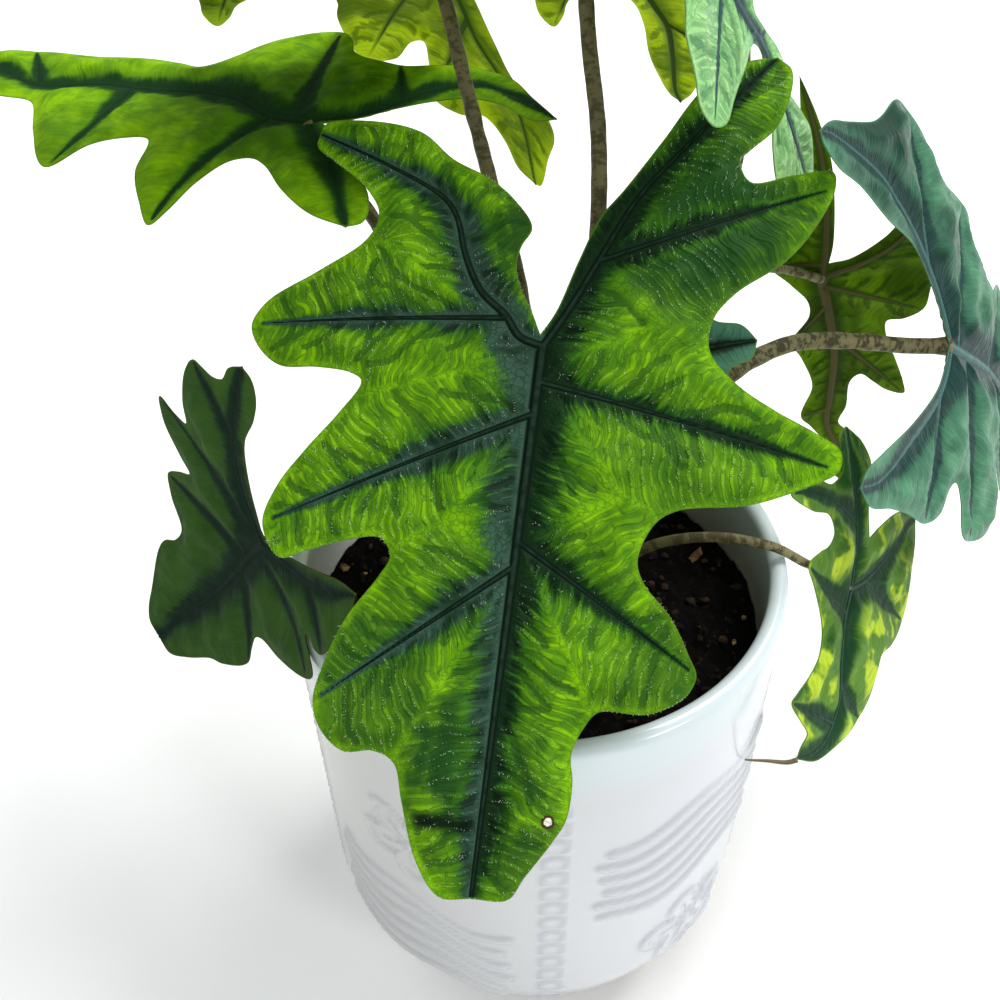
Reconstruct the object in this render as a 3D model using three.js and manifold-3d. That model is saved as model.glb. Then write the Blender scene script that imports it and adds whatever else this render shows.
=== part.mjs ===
// A potted alocasia: ten deeply lobed leaves on slim petioles, in a white relief-glazed cylinder pot.
// Millimetres, +Z up. The origin is the middle of the pot's foot, and -Y is the front.
import * as THREE from 'three';
import { mergeVertices } from 'three/addons/utils/BufferGeometryUtils.js';
import Module from 'manifold-3d';

// Driving sizes of the pot and the soil
const POT_HEIGHT = 160;
const POT_RADIUS = 70;
const POT_WALL = 5.2;
const POT_FLOOR = 8;
const POT_FOOT_RADIUS = 29;
const POT_SIDES = 40;
const BASE_ROUND_STEPS = 5;
const LIP_ROUND_STEPS = 4;
const SOIL_HEIGHT = 136;
const SOIL_CROWN = 3;
const SOIL_CROWN_STEPS = 3;
const CLEARANCE = 0.35;

// Driving sizes shared by all leaves
const BLADE_THICKNESS = 0.8;
const MARGIN_PIECES = 2;
const RINGS = 2;
const RIB_STEP = 9;
const PULL_PER_BOW = 2;
const WAVE_REACH = 30;
const WAVE_REACH_MOST = 45;
const WAVE_ACROSS = 9;
const WAVE_ALONG = 14;
const BEND_UNIT = 0.01;
const SAME_PLACE = 0.01;
const SAME_SHARE = 1e-6;
const PETIOLE_SIDES = 8;
const PETIOLE_STEP = 9;
const PETIOLE_FOOT_HEIGHT = 119;
const HOLE_TOP_HEIGHT = 150;

// The points of a leaf are [across, along] from the petiole, in its own plane. A third number marks the tip of
// a lobe: it says how far along the ribs, from the petiole, its vein starts. Cup bends the halves down across
// the leaf, droop the front of it and back the two back lobes, in bend units per square millimetre.
// Front leaf, seen from its top
const FRONT = {
  name: 'leaf_front',
  hub: [0.9, 0.1, 226.4],
  heading: -100.8,
  pitch: -36.2,
  roll: -4,
  cup: [0.16, 0.16],
  droop: 0.02,
  back: [0.08, -0.05],
  wave: 0.6,
  sinus: [1, -3],
  midrib: [[0, 0], [0, 60], [0, 127]],
  left: {
    rib: [[0, 0], [6, -2], [10, -7], [17, -13], [22, -22], [26, -33], [30, -38], [46, -47], [67, -57]],
    outer: [
      [7, 127.5], [13, 121], [18, 109], [21, 101], [26, 99], [33, 100], [39, 96], [42, 90, 54],
      [41, 82], [37, 70], [31, 60], [29, 55], [32, 51], [39, 52], [50, 56], [56, 58], [62, 50, 17],
      [60, 41], [54, 31], [47, 21], [43, 13], [46, 11], [55, 10], [65, 10], [72, 5], [75, -1, -12],
      [72, -7], [59, -16], [48, -25], [46, -32], [51, -40], [61, -48], [67, -53],
    ],
    inner: [
      [66, -60], [54, -60.5], [39, -57], [29, -49], [19, -44], [12, -38.5], [6.5, -31], [8.5, -25.5],
      [9, -20], [7, -14], [4, -9],
    ],
  },
  right: {
    rib: [[0, 0], [-5, -10], [-11, -24], [-19, -42], [-30, -58], [-50, -85]],
    outer: [
      [-8, 126], [-11, 121], [-16, 113], [-18.5, 108], [-19, 100], [-18, 94], [-20, 88], [-23, 84],
      [-34, 83], [-42, 78], [-44, 73, 48], [-42, 69], [-37, 61], [-30, 54], [-28, 49], [-31, 40],
      [-36, 36], [-53, 32], [-67, 25], [-74, 20, 9], [-74, 15], [-68, 12], [-57, 8], [-47, 3],
      [-40, -4], [-40, -12], [-45, -20], [-57, -31], [-64, -42], [-68, -53, -26], [-67, -57],
      [-57, -54], [-46, -50], [-43, -55], [-45, -58], [-52, -67], [-54, -82],
    ],
    inner: [[-42, -82], [-32, -73], [-23, -57], [-15, -43], [-10, -35], [-6, -23], [-2, -9]],
  },
  petiole: [[2, 14, PETIOLE_FOOT_HEIGHT], [2, 15, 140], [2, 13, 180], [1.5, 5, 212]],
  petioleRadius: [2.9, 2.3],
};

// Left leaf, held out level over the front left
const LEFT = {
  name: 'leaf_left',
  hub: [-64.9, 88.8, 249.7],
  heading: 165,
  pitch: -3,
  roll: -8,
  cup: [0, 0],
  droop: 0,
  back: [0, 0],
  wave: 1.2,
  sinus: [0, -4],
  midrib: [[0, 0], [3, 12], [13, 27], [17, 42], [18, 61], [21, 80], [19, 102], [29, 123], [31, 141]],
  left: {
    rib: [[0, 0], [6, -18], [19, -32], [24, -46], [17, -60], [5, -74]],
    outer: [
      [38, 138], [42, 130], [43, 118, 106], [40, 99], [38, 73], [34, 57], [32, 49], [40, 38], [52, 29],
      [59, 10, 4], [53, 4], [43, -1], [36, -18, -30], [34, -41], [28, -55], [16, -65],
    ],
    inner: [[3, -68], [12, -56], [15, -46], [13, -36], [8, -24], [2, -14]],
  },
  right: {
    rib: [[0, 0], [-12, -8], [-23, -16], [-42, -26], [-52, -31]],
    outer: [
      [20, 132], [11, 113], [7, 98], [-11, 86], [-30, 70, 71], [-18, 63], [-14, 54], [-15, 44],
      [-31, 40], [-46, 31], [-56, 23, 12, 5], [-49, 21], [-35, 19], [-24, 14], [-22, 8], [-25, 3],
      [-38, -8], [-48, -20],
    ],
    inner: [[-50, -35], [-39, -33], [-25, -24], [-12, -15], [-4, -9]],
  },
  petiole: [
    [-10, 18, PETIOLE_FOOT_HEIGHT], [-11, 20, 140], [-22, 38, 185], [-42, 66, 222], [-57, 82, 239],
  ],
  petioleRadius: [2.7, 1.9],
};

// Low leaf on the left, hanging over the rim on its edge
const LOW = {
  name: 'leaf_low',
  hub: [-73.6, -11.5, 173.3],
  heading: 138,
  pitch: -49,
  roll: -85,
  cup: [-0.17, -0.8],
  droop: -0.19,
  back: [0.2, 0.2],
  wave: 1,
  sinus: [1, -3],
  midrib: [[0, 0], [0, 11], [-2, 39], [-2, 69], [-3, 84]],
  left: {
    rib: [[0, 0], [12, -6], [23, -17], [31, -32], [35, -42]],
    outer: [
      [3, 83], [7, 79], [11, 72], [19, 57], [20, 51], [18, 46], [19, 38], [28, 31], [33, 25, 14],
      [31, 19], [28, 13], [33, 11], [42, 6], [47, -2, 2], [42, -2], [37, -4], [41, -12], [45, -23],
      [45, -28, -32], [42, -29], [39, -30], [36.5, -33], [37, -38],
    ],
    inner: [[31, -42], [27, -39], [24, -33], [22, -24], [15, -15], [6, -7]],
  },
  right: {
    rib: [[0, 0], [-8, -8], [-16, -18], [-21, -28], [-24, -38]],
    outer: [
      [-9, 82], [-14, 72], [-18, 59], [-21.5, 52], [-25, 37, 20], [-22, 33], [-20, 29], [-21, 24],
      [-28, 14], [-36, -5, 6], [-36, -10], [-31, -8.5], [-26.5, -7.5], [-26.5, -10.5], [-30, -12],
      [-32.5, -16, -22], [-31.5, -25], [-28, -34],
    ],
    inner: [[-19, -32], [-14, -23], [-7, -12]],
  },
  petiole: [[-12, 4, PETIOLE_FOOT_HEIGHT], [-14, 6, 140], [-26, 13, 162], [-44, 12, 176], [-61, 1, 179]],
  petioleRadius: [2.2, 1.5],
};

// Right leaf, seen from its top as it leans out of the picture
const RIGHT = {
  name: 'leaf_right',
  hub: [130.6, 55.1, 189.1],
  heading: 34.6,
  pitch: -35.7,
  roll: 55.6,
  cup: [0.05, 0.05],
  droop: 0.1,
  back: [0, 0],
  wave: 1.2,
  sinus: [0, -3],
  midrib: [[0, 0], [0, 7], [-2, 43], [0, 80], [0, 108]],
  left: {
    rib: [[0, 0], [10, -4], [19, -11], [35, -31], [49, -51], [53, -64]],
    outer: [
      [6, 104], [12, 95], [15, 84], [20, 76], [30, 72], [36, 66, 44], [33, 57], [25, 48], [28, 44],
      [34, 44], [43, 46], [52, 42], [58, 24, 12], [57, 13], [47, 10], [42, 6], [44, 0], [53, -8],
      [57, -18, -20], [56, -34], [56, -45], [57, -58],
    ],
    inner: [[48, -61], [42, -52], [30, -31], [16, -12], [9, -7], [3, -4]],
  },
  right: {
    rib: [[0, 0], [-10, -8], [-18, -17], [-27, -32], [-31, -43], [-34, -54], [-33, -86], [-31, -93]],
    outer: [
      [-8, 104], [-14, 94], [-15, 84], [-20, 74], [-32, 69], [-38, 62, 40], [-34, 52], [-27, 45],
      [-31, 38], [-36, 29], [-41, 20], [-49, 17], [-51, 10, 6], [-50, -5], [-54, -14], [-60, -24],
      [-63, -34, -28], [-61, -44], [-52, -54], [-47, -61], [-40, -77], [-36, -87],
    ],
    inner: [[-28, -91], [-25, -84], [-25, -70], [-22, -52], [-21, -32], [-14, -19], [-7, -10]],
  },
  petiole: [
    [15, 12, PETIOLE_FOOT_HEIGHT], [16, 13, 140], [36, 28, 172], [59, 44, 187], [78, 52, 192.5],
    [97, 54, 192], [116, 57, 188],
  ],
  petioleRadius: [2.9, 2.4],
};

// Small hanging leaf in front on the right, with a curled drip tip
const HANGING = {
  name: 'leaf_hanging',
  hub: [97.6, 5.8, 133.6],
  heading: 249,
  pitch: -30,
  roll: -66,
  cup: [0, 0],
  droop: 0,
  back: [0, 0],
  wave: 0.8,
  sinus: [-5, -19],
  midrib: [[0, 0], [0, 10], [-4, 21], [-9, 33], [-5, 45], [4, 52], [15, 56]],
  left: {
    rib: [[0, 0], [4, -15], [16, -29], [31, -40]],
    outer: [
      [14, 52], [12, 48], [18, 46], [27, 43, 42], [25, 40], [19, 32], [16, 26], [18, 19], [29, 10],
      [36, 6, 8], [31, 0], [26, -4], [24, -9], [29, -12], [42, -8], [58, -6, -20, -4], [50, -13],
      [44, -17], [32, -21], [28, -28], [36, -34],
    ],
    inner: [[22, -41], [7, -38], [1, -27]],
  },
  right: {
    rib: [[0, 0], [-11, -7], [-33, -28], [-40, -38], [-48, -44]],
    outer: [
      [0, 53], [-15, 44], [-29, 33, 30], [-35, 22], [-37, 10], [-46, 3], [-54, -8, -13], [-52, -28],
      [-51, -36],
    ],
    inner: [[-32, -40], [-23, -35], [-11, -25]],
  },
  petiole: [
    [14, 1, PETIOLE_FOOT_HEIGHT], [15, 1, 140], [32, -1, 160], [48, -4, 166], [64, -7, 165],
    [76, -5, 156], [88, 3, 144],
  ],
  petioleRadius: [1.8, 1.1],
};

// Leaf behind on the right, hanging straight down with its underside to the front
const BEHIND = {
  name: 'leaf_behind',
  hub: [109.9, 127.2, 174.7],
  heading: 90,
  pitch: -80,
  roll: 0,
  cup: [0, 0],
  droop: 0,
  back: [0, 0],
  wave: 1.2,
  sinus: [1.5, -6],
  midrib: [[0, 0], [5, 12], [14, 37], [18, 60], [21, 78], [31, 97], [41, 120]],
  left: {
    rib: [[0, 0], [13, -6], [22, -13], [29, -25], [31, -31]],
    outer: [
      [49, 112], [39, 90], [26, 78, 83], [27, 69], [25, 54], [28, 50], [34, 54], [41, 59], [49, 61, 30],
      [47, 55], [40, 42], [33, 30], [31, 22], [37, 21], [43, 16, 4], [43, 8], [40, -5], [36, -18],
    ],
    inner: [[24, -26], [19, -17], [9, -8]],
  },
  right: {
    rib: [[0, 0], [-2, -16], [-11, -48], [-23, -74], [-25, -78]],
    outer: [
      [31, 111], [23, 91], [15, 81], [9, 74, 72], [10, 57], [2, 41], [-4, 32, 14], [0, 19], [-2, 12],
      [-10, 4], [-20, -6, -6], [-14, -12], [-11, -24], [-17, -48], [-22, -66],
    ],
    inner: [[-21, -72], [-15, -62], [-7, -46], [1, -15]],
  },
  petiole: [
    [13, 22, PETIOLE_FOOT_HEIGHT], [14, 23, 140], [28, 52, 176], [48, 84, 188], [70, 106, 188],
    [91, 117, 183],
  ],
  petioleRadius: [2.2, 1.5],
};

// High leaf at the back left: its left back lobe hangs down, seen from below
const HIGH_LEFT = {
  name: 'leaf_high_left',
  hub: [-26.9, 104.1, 293.4],
  heading: 199,
  pitch: 12,
  roll: 27,
  cup: [0.19, 0.19],
  droop: 0.07,
  back: [1.19, 0.3],
  wave: 0.8,
  sinus: [1, -4],
  midrib: [[0, 0], [1, 40], [0, 80], [0, 125]],
  left: {
    rib: [[0, 0], [15, -10], [30, -21], [41, -31], [45, -40], [50, -50], [65, -63]],
    outer: [
      [8, 124], [13, 118], [18, 106], [22, 99], [33, 99], [41, 92, 54], [40, 82], [37, 70], [42, 60],
      [57, 55], [65, 53], [71, 48, 26, 7], [66, 45], [57, 43], [46, 28], [45, 18], [52, 13], [61, 11],
      [73, 5], [85, -5, -12], [79, -14], [66, -16], [62, -19], [71, -24], [85, -31, -42], [81, -39],
      [69, -45], [68, -52], [70, -58],
    ],
    inner: [[62, -64], [50, -61], [39, -58], [37, -54], [41, -44], [35, -34], [25, -24], [12, -13]],
  },
  right: {
    rib: [[0, 0], [-7, -6], [-16, -12], [-26, -18]],
    outer: [
      [-9, 121], [-17, 109], [-18, 95], [-24, 84], [-36, 83], [-45, 74, 50], [-39, 62], [-30, 52],
      [-33, 41], [-52, 36], [-72, 24, 12], [-66, 14], [-52, 8], [-42, 2], [-37, -6], [-32, -13],
    ],
    inner: [[-23, -22], [-15, -17], [-7, -10]],
  },
  petiole: [
    [4, 25, PETIOLE_FOOT_HEIGHT], [4, 27, 140], [1, 38, 185], [-4, 52, 218], [-11, 64, 240],
    [-17, 74, 262], [-22, 86, 280],
  ],
  petioleRadius: [2.4, 1.9],
};

// High leaf at the back right, seen from below, with its tip towards the right
const HIGH_RIGHT = {
  name: 'leaf_high_right',
  hub: [14, 75, 305],
  heading: 57,
  pitch: -35,
  roll: -1,
  cup: [0.33, 0.33],
  droop: 0.12,
  back: [0.2, 0.2],
  wave: 0.7,
  sinus: [0.5, -4],
  midrib: [[0, 0], [2, 25], [4, 47], [5, 57], [2, 75], [-2, 95], [-2, 103]],
  left: {
    rib: [[0, 0], [4, -8], [10, -18], [18, -30]],
    outer: [
      [2, 99], [7, 91], [13, 83], [20, 80], [25, 74, 56], [22, 64], [17, 54], [16, 44], [22, 38],
      [24, 31, 22], [20, 24], [16, 14], [19, 5], [20, -4, -5], [17, -12], [18, -22],
    ],
    inner: [[14, -30], [7, -20], [2, -10]],
  },
  right: {
    rib: [[0, 0], [-3, -9], [-6, -20], [-10, -34]],
    outer: [
      [-5, 100], [-7, 88], [-7, 77], [-4, 60], [-4, 48], [-10, 41], [-19, 43], [-25, 49], [-29, 56],
      [-34, 61, 8], [-36, 55], [-35, 48], [-31, 39], [-22, 31], [-14, 25], [-10, 16], [-11, 6],
      [-10, -4], [-10, -14], [-14, -24],
    ],
    inner: [[-5, -28], [-1.5, -14]],
  },
  petiole: [
    [11, 32, PETIOLE_FOOT_HEIGHT], [11.5, 32, 140], [14, 31, 190], [16.5, 35, 235], [17, 50, 258],
    [15, 65, 276], [14, 72, 289],
  ],
  petioleRadius: [2.4, 2],
};

// Nearest leaf at the top right, hanging with its top to the front
const TOP = {
  name: 'leaf_top',
  hub: [40.5, 49.3, 306],
  heading: 2.4,
  pitch: -67.8,
  roll: 30.3,
  cup: [0, 0],
  droop: 0,
  back: [0.2, 0.2],
  wave: 0.8,
  sinus: [1, -3],
  midrib: [[0, 0], [-2, 14], [-8, 26], [-14, 36], [-17, 46], [-20, 60], [-22, 78], [-20, 90]],
  left: {
    rib: [[0, 0], [6, -7], [13, -15], [20, -23], [26, -31]],
    outer: [
      [-14, 87], [-5, 78], [0, 66], [-3, 59], [-7, 55, 57], [-9, 50], [-10.5, 44, 46], [-12.5, 38],
      [-8, 32.5, 33], [3, 34], [13, 36], [20, 38], [27, 35, 10], [32, 27], [30, 20], [29, 12], [25, 6],
      [28, -2], [35, -8, -8], [31, -16], [26, -20], [29, -27],
    ],
    inner: [[22, -31], [15, -25], [8, -17], [3, -9]],
  },
  right: {
    rib: [[0, 0], [-5, -8], [-11, -18], [-20, -29], [-29, -38]],
    outer: [
      [-27, 83], [-33, 71], [-30, 64], [-23, 52, 56], [-24, 45], [-18, 34, 36], [-13, 26], [-17, 19],
      [-27, 15], [-33, 8, 4], [-27, 1], [-22, -5], [-28, -13], [-36, -18, -14], [-30, -24], [-31, -31],
    ],
    inner: [[-23, -38], [-14, -29], [-7, -19], [-2, -9]],
  },
  petiole: [
    [20, 20, PETIOLE_FOOT_HEIGHT], [21, 21, 140], [36, 38, 180], [52, 60, 220], [60, 75, 250],
    [54, 74, 280], [39, 62, 298],
  ],
  petioleRadius: [2.4, 1.9],
};

// Young small leaf in the middle, almost hidden by the front leaf
const YOUNG = {
  name: 'leaf_young',
  hub: [27, 16, 211],
  heading: 5,
  pitch: 12,
  roll: 30,
  cup: [0.2, 0.2],
  droop: 0.4,
  back: [0.3, 0.3],
  wave: 0.3,
  sinus: [0, -2],
  midrib: [[0, 0], [0, 16], [0, 32]],
  left: {
    rib: [[0, 0], [4, -5], [8, -11], [13, -17]],
    outer: [
      [5, 29], [7, 23], [10, 20], [11, 16, 8], [9, 11], [12, 6], [15, 1, -2], [13, -5], [13, -9],
      [15, -14],
    ],
    inner: [[10, -17], [5, -11], [2, -6]],
  },
  right: {
    rib: [[0, 0], [-3, -5], [-7, -11], [-11, -18]],
    outer: [
      [-5, 29], [-7, 23], [-10, 20], [-11, 16, 8], [-9, 11], [-12, 6], [-14, 0, -2], [-12, -6],
      [-13, -13],
    ],
    inner: [[-8, -17], [-4, -11], [-1, -6]],
  },
  petiole: [[23, 9, PETIOLE_FOOT_HEIGHT], [23.5, 9, 140], [25, 11, 180], [27, 13, 200]],
  petioleRadius: [1.5, 1],
};

const LEAVES = [FRONT, LEFT, LOW, RIGHT, HANGING, BEHIND, HIGH_LEFT, HIGH_RIGHT, TOP, YOUNG];

const MATERIALS = {
  glaze: new THREE.MeshStandardMaterial({ color: 0xeceef2, roughness: 0.2, metalness: 0 }),
  soil: new THREE.MeshStandardMaterial({ color: 0x241b16, roughness: 0.95, metalness: 0 }),
  lamina: new THREE.MeshStandardMaterial({ color: 0x5f9a1c, roughness: 0.5, metalness: 0 }),
  petiole: new THREE.MeshStandardMaterial({ color: 0x6b5f49, roughness: 0.6, metalness: 0 }),
};

const wasm = await Module();
wasm.setup();

function toManifold(geometry) {
  const bare = geometry.clone();
  bare.deleteAttribute('normal');
  bare.deleteAttribute('uv');
  const welded = mergeVertices(bare);
  const vertProperties = new Float32Array(welded.attributes.position.array);
  const triVerts = new Uint32Array(welded.index.array);
  return new wasm.Manifold(new wasm.Mesh({ numProp: 3, vertProperties, triVerts }));
}

function toGeometry(solid) {
  const mesh = solid.getMesh();
  return indexedGeometry(Array.from(mesh.vertProperties), Array.from(mesh.triVerts));
}

function indexedGeometry(positions, triangles) {
  const geometry = new THREE.BufferGeometry();
  geometry.setAttribute('position', new THREE.Float32BufferAttribute(positions, 3));
  geometry.setIndex(triangles);
  geometry.computeVertexNormals();
  return geometry;
}

function named(name, geometry, material) {
  const mesh = new THREE.Mesh(geometry, material);
  mesh.name = name;
  return mesh;
}

function latheUp(profile) {
  const geometry = new THREE.LatheGeometry(profile, POT_SIDES);
  geometry.rotateX(Math.PI / 2);
  return geometry;
}

function arc(centre, radius, fromDegrees, toDegrees, steps) {
  return Array.from({ length: steps + 1 }, (_, i) => {
    const angle = THREE.MathUtils.degToRad(fromDegrees + ((toDegrees - fromDegrees) * i) / steps);
    return new THREE.Vector2(centre[0] + radius * Math.cos(angle), centre[1] + radius * Math.sin(angle));
  });
}

// Pot: a straight wall, a wide rounded base on a flat foot, and a lip as round as the wall is thick
function potGeometry() {
  const baseRound = POT_RADIUS - POT_FOOT_RADIUS;
  const insideRound = baseRound - POT_WALL;
  const lipRadius = POT_WALL / 2;
  const profile = [
    new THREE.Vector2(0, 0),
    ...arc([POT_FOOT_RADIUS, baseRound], baseRound, -90, 0, BASE_ROUND_STEPS),
    ...arc([POT_RADIUS - lipRadius, POT_HEIGHT - lipRadius], lipRadius, 0, 180, LIP_ROUND_STEPS),
    ...arc([POT_FOOT_RADIUS, POT_FLOOR + insideRound], insideRound, 0, -90, BASE_ROUND_STEPS),
    new THREE.Vector2(0, POT_FLOOR),
  ];
  return latheUp(profile);
}

// Soil: fills the pot to a slightly crowned top, with a plain hole round each petiole
function soilGeometry() {
  const outerRadius = POT_RADIUS - POT_WALL - CLEARANCE;
  const baseRound = outerRadius - POT_FOOT_RADIUS;
  const bottom = POT_FLOOR + CLEARANCE;
  const crown = Array.from({ length: SOIL_CROWN_STEPS + 1 }, (_, i) => {
    const fraction = 1 - i / SOIL_CROWN_STEPS;
    return new THREE.Vector2(outerRadius * fraction, SOIL_HEIGHT + SOIL_CROWN * (1 - fraction * fraction));
  });
  const profile = [
    new THREE.Vector2(0, bottom),
    ...arc([POT_FOOT_RADIUS, bottom + baseRound], baseRound, -90, 0, BASE_ROUND_STEPS),
    ...crown,
  ];
  let soil = toManifold(latheUp(profile));
  for (const leaf of LEAVES) {
    soil = soil.subtract(toManifold(holeGeometry(leaf)));
  }
  return toGeometry(soil);
}

function vector(point) {
  return new THREE.Vector3(point[0], point[1], point[2] ?? 0);
}

function smoothPath(points) {
  return new THREE.CatmullRomCurve3(points.map(vector), false, 'centripetal');
}

// A tube of straight-sided rings: each ring has a middle, a direction and a radius
function tubeGeometry(rings, cutNormal) {
  const positions = [];
  let side = new THREE.Vector3(1, 0, 0);
  rings.forEach((ring, index) => {
    side = side.clone().addScaledVector(ring.direction, -side.dot(ring.direction)).normalize();
    const up = ring.direction.clone().cross(side);
    for (let i = 0; i < PETIOLE_SIDES; i += 1) {
      const angle = (2 * Math.PI * i) / PETIOLE_SIDES;
      const offset = side.clone().multiplyScalar(ring.radius * Math.cos(angle));
      offset.addScaledVector(up, ring.radius * Math.sin(angle));
      if (cutNormal && index === rings.length - 1) {
        offset.addScaledVector(ring.direction, -offset.dot(cutNormal) / ring.direction.dot(cutNormal));
      }
      positions.push(...ring.middle.clone().add(offset).toArray());
    }
  });
  const triangles = [];
  const last = (rings.length - 1) * PETIOLE_SIDES;
  for (let r = 0; r < last; r += PETIOLE_SIDES) {
    for (let i = 0; i < PETIOLE_SIDES; i += 1) {
      const next = (i + 1) % PETIOLE_SIDES;
      triangles.push(r + i, r + next, r + PETIOLE_SIDES + next);
      triangles.push(r + i, r + PETIOLE_SIDES + next, r + PETIOLE_SIDES + i);
    }
  }
  for (let i = 1; i < PETIOLE_SIDES - 1; i += 1) {
    triangles.push(0, i + 1, i);
    triangles.push(last, last + i, last + i + 1);
  }
  return indexedGeometry(positions, triangles);
}

// Axes of a leaf: across the blade, along it, and out of its top
function leafAxes(leaf) {
  const heading = THREE.MathUtils.degToRad(leaf.heading);
  const pitch = THREE.MathUtils.degToRad(leaf.pitch);
  const roll = THREE.MathUtils.degToRad(leaf.roll);
  const flat = Math.cos(pitch);
  const along = new THREE.Vector3(Math.cos(heading) * flat, Math.sin(heading) * flat, Math.sin(pitch));
  const upright = new THREE.Vector3(0, 0, 1).addScaledVector(along, -along.z).normalize();
  const level = along.clone().cross(upright);
  const out = upright.multiplyScalar(Math.cos(roll)).addScaledVector(level, Math.sin(roll));
  const across = along.clone().cross(out);
  return { across, along, out };
}

// Petiole: rises out of the soil and ends flat against the underside of the blade
function petioleRings(leaf) {
  const { out } = leafAxes(leaf);
  const top = vector(leaf.hub).addScaledVector(out, -BLADE_THICKNESS - CLEARANCE);
  const path = smoothPath([...leaf.petiole, top.toArray()]);
  const steps = Math.ceil(path.getLength() / PETIOLE_STEP);
  const [low, high] = leaf.petioleRadius;
  return Array.from({ length: steps + 1 }, (_, i) => ({
    middle: path.getPointAt(i / steps),
    direction: path.getTangentAt(i / steps),
    radius: low + ((high - low) * i) / steps,
  }));
}

function petioleGeometry(leaf) {
  return tubeGeometry(petioleRings(leaf), leafAxes(leaf).out);
}

// The hole follows the petiole up out of the soil, wider by the clearance all round
function holeGeometry(leaf) {
  const rings = petioleRings(leaf);
  const above = rings.findIndex((ring) => ring.middle.z > HOLE_TOP_HEIGHT);
  const inSoil = rings.slice(0, above + 1).map((ring) => ({ ...ring, radius: ring.radius + CLEARANCE }));
  const first = inSoil[0];
  inSoil[0] = { ...first, middle: first.middle.clone().addScaledVector(first.direction, -CLEARANCE) };
  return tubeGeometry(inSoil, null);
}

// Points on a curve from its start to its end, about a rib step apart
function pointsAlong(curve) {
  const steps = Math.max(1, Math.round(curve.getLength() / RIB_STEP));
  return curve.getSpacedPoints(steps).map(({ x, y }) => [x, y]);
}

// Places on a rib, counted from the petiole: where veins start, with more between those far apart
function ribPlaces(points, starts) {
  const curve = smoothPath(points);
  const length = curve.getLength();
  const stops = [0, ...starts.filter((start) => start > 0), length].sort((a, b) => a - b);
  const places = [{ reach: 0, point: points[0] }];
  for (let i = 1; i < stops.length; i += 1) {
    const gap = stops[i] - stops[i - 1];
    const steps = Math.max(1, Math.round(gap / RIB_STEP));
    for (let k = 1; k <= steps && gap > 0; k += 1) {
      const reach = k === steps ? stops[i] : stops[i - 1] + (gap * k) / steps;
      const { x, y } = curve.getPointAt(Math.min(1, reach / length));
      places.push({ reach, point: [x, y] });
    }
  }
  return places;
}

// A vein from the ribs to a lobe's tip, bowed towards the apex by the lobe's fourth number
function veinStretch(start, tip) {
  const [from, to] = [new THREE.Vector2(...start), new THREE.Vector2(tip[0], tip[1])];
  const sideways = new THREE.Vector2(from.y - to.y, to.x - from.x).normalize();
  const towardsApex = sideways.y < 0 ? -1 : 1;
  const middle = from.clone().add(to).divideScalar(2);
  const pull = middle.addScaledVector(sideways, PULL_PER_BOW * towardsApex * (tip[3] ?? 0));
  return pointsAlong(new THREE.QuadraticBezierCurve(from, pull, to));
}

// Splits a half of the outline at its lobes: each sector lies between the veins of two neighbouring lobes
function sectorsOf(leaf, half) {
  const starts = [...leaf.left.outer, ...leaf.right.outer].map((point) => point[2] ?? 0);
  const midrib = ribPlaces(leaf.midrib, starts);
  const backRib = ribPlaces(half.rib, half.outer.map((point) => -(point[2] ?? 0)));
  const ribs = [...midrib].reverse();
  ribs.push(...backRib.slice(1).map(({ reach, point }) => ({ reach: -reach, point })));
  const [apex, backTip] = [ribs[0], ribs.at(-1)].map(({ point, reach }) => [...point, reach]);
  const outline = [apex, ...half.outer, backTip];
  const margin = marginSamples(outline);
  const lobes = outline.map((point, i) => (point.length > 2 ? i : -1)).filter((i) => i >= 0);
  const sectors = lobes.slice(1).map((last, k) => {
    const [from, to] = [outline[lobes[k]], outline[last]];
    const between = ribs.filter(({ reach }) => reach <= from[2] && reach >= to[2]).map(({ point }) => point);
    const path = [...veinStretch(between[0], from).reverse(), ...between, ...veinStretch(between.at(-1), to)];
    return { path: distinct(path), margin: margin.slice(lobes[k] * MARGIN_PIECES, last * MARGIN_PIECES + 1) };
  });
  const inner = [ribs.at(-1).point, ...half.inner, leaf.sinus];
  sectors.push({ path: backRib.map(({ point }) => point).reverse(), margin: marginSamples(inner) });
  return sectors;
}

function distinct(path) {
  return path.filter((point, i) => i === 0 || distance(point, path[i - 1]) > SAME_PLACE);
}

function distance(a, b) {
  return Math.hypot(a[0] - b[0], a[1] - b[1]);
}

function marginSamples(points) {
  const curve = smoothPath(points.map(([across, along]) => [across, along]));
  return curve.getPoints((points.length - 1) * MARGIN_PIECES).map((point) => [point.x, point.y]);
}

// Shares of the whole length at each point of a polyline, and the point at any share
function sharesOf(polyline) {
  const reach = [0];
  polyline.slice(1).forEach((point, i) => reach.push(reach[i] + distance(point, polyline[i])));
  return reach.map((value) => value / reach.at(-1));
}

function pointAtShare(polyline, shares, share) {
  const next = Math.max(1, shares.findIndex((value) => value >= share));
  const part = (share - shares[next - 1]) / (shares[next] - shares[next - 1]);
  return mix(polyline[next - 1], polyline[next], part);
}

function mix(a, b, part) {
  return [a[0] + (b[0] - a[0]) * part, a[1] + (b[1] - a[1]) * part];
}

// How far a point of the blade stands out of the leaf's plane
function bladeLift(leaf, [across, along], fromRib) {
  const side = across > 0 ? 0 : 1;
  const bend = along > 0 ? leaf.droop : leaf.back[side];
  const reach = Math.min(fromRib, WAVE_REACH_MOST) / WAVE_REACH;
  const wave = leaf.wave * reach * reach * Math.sin(across / WAVE_ACROSS) * Math.cos(along / WAVE_ALONG);
  return wave - BEND_UNIT * (leaf.cup[side] * across * across + bend * along * along);
}

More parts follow.
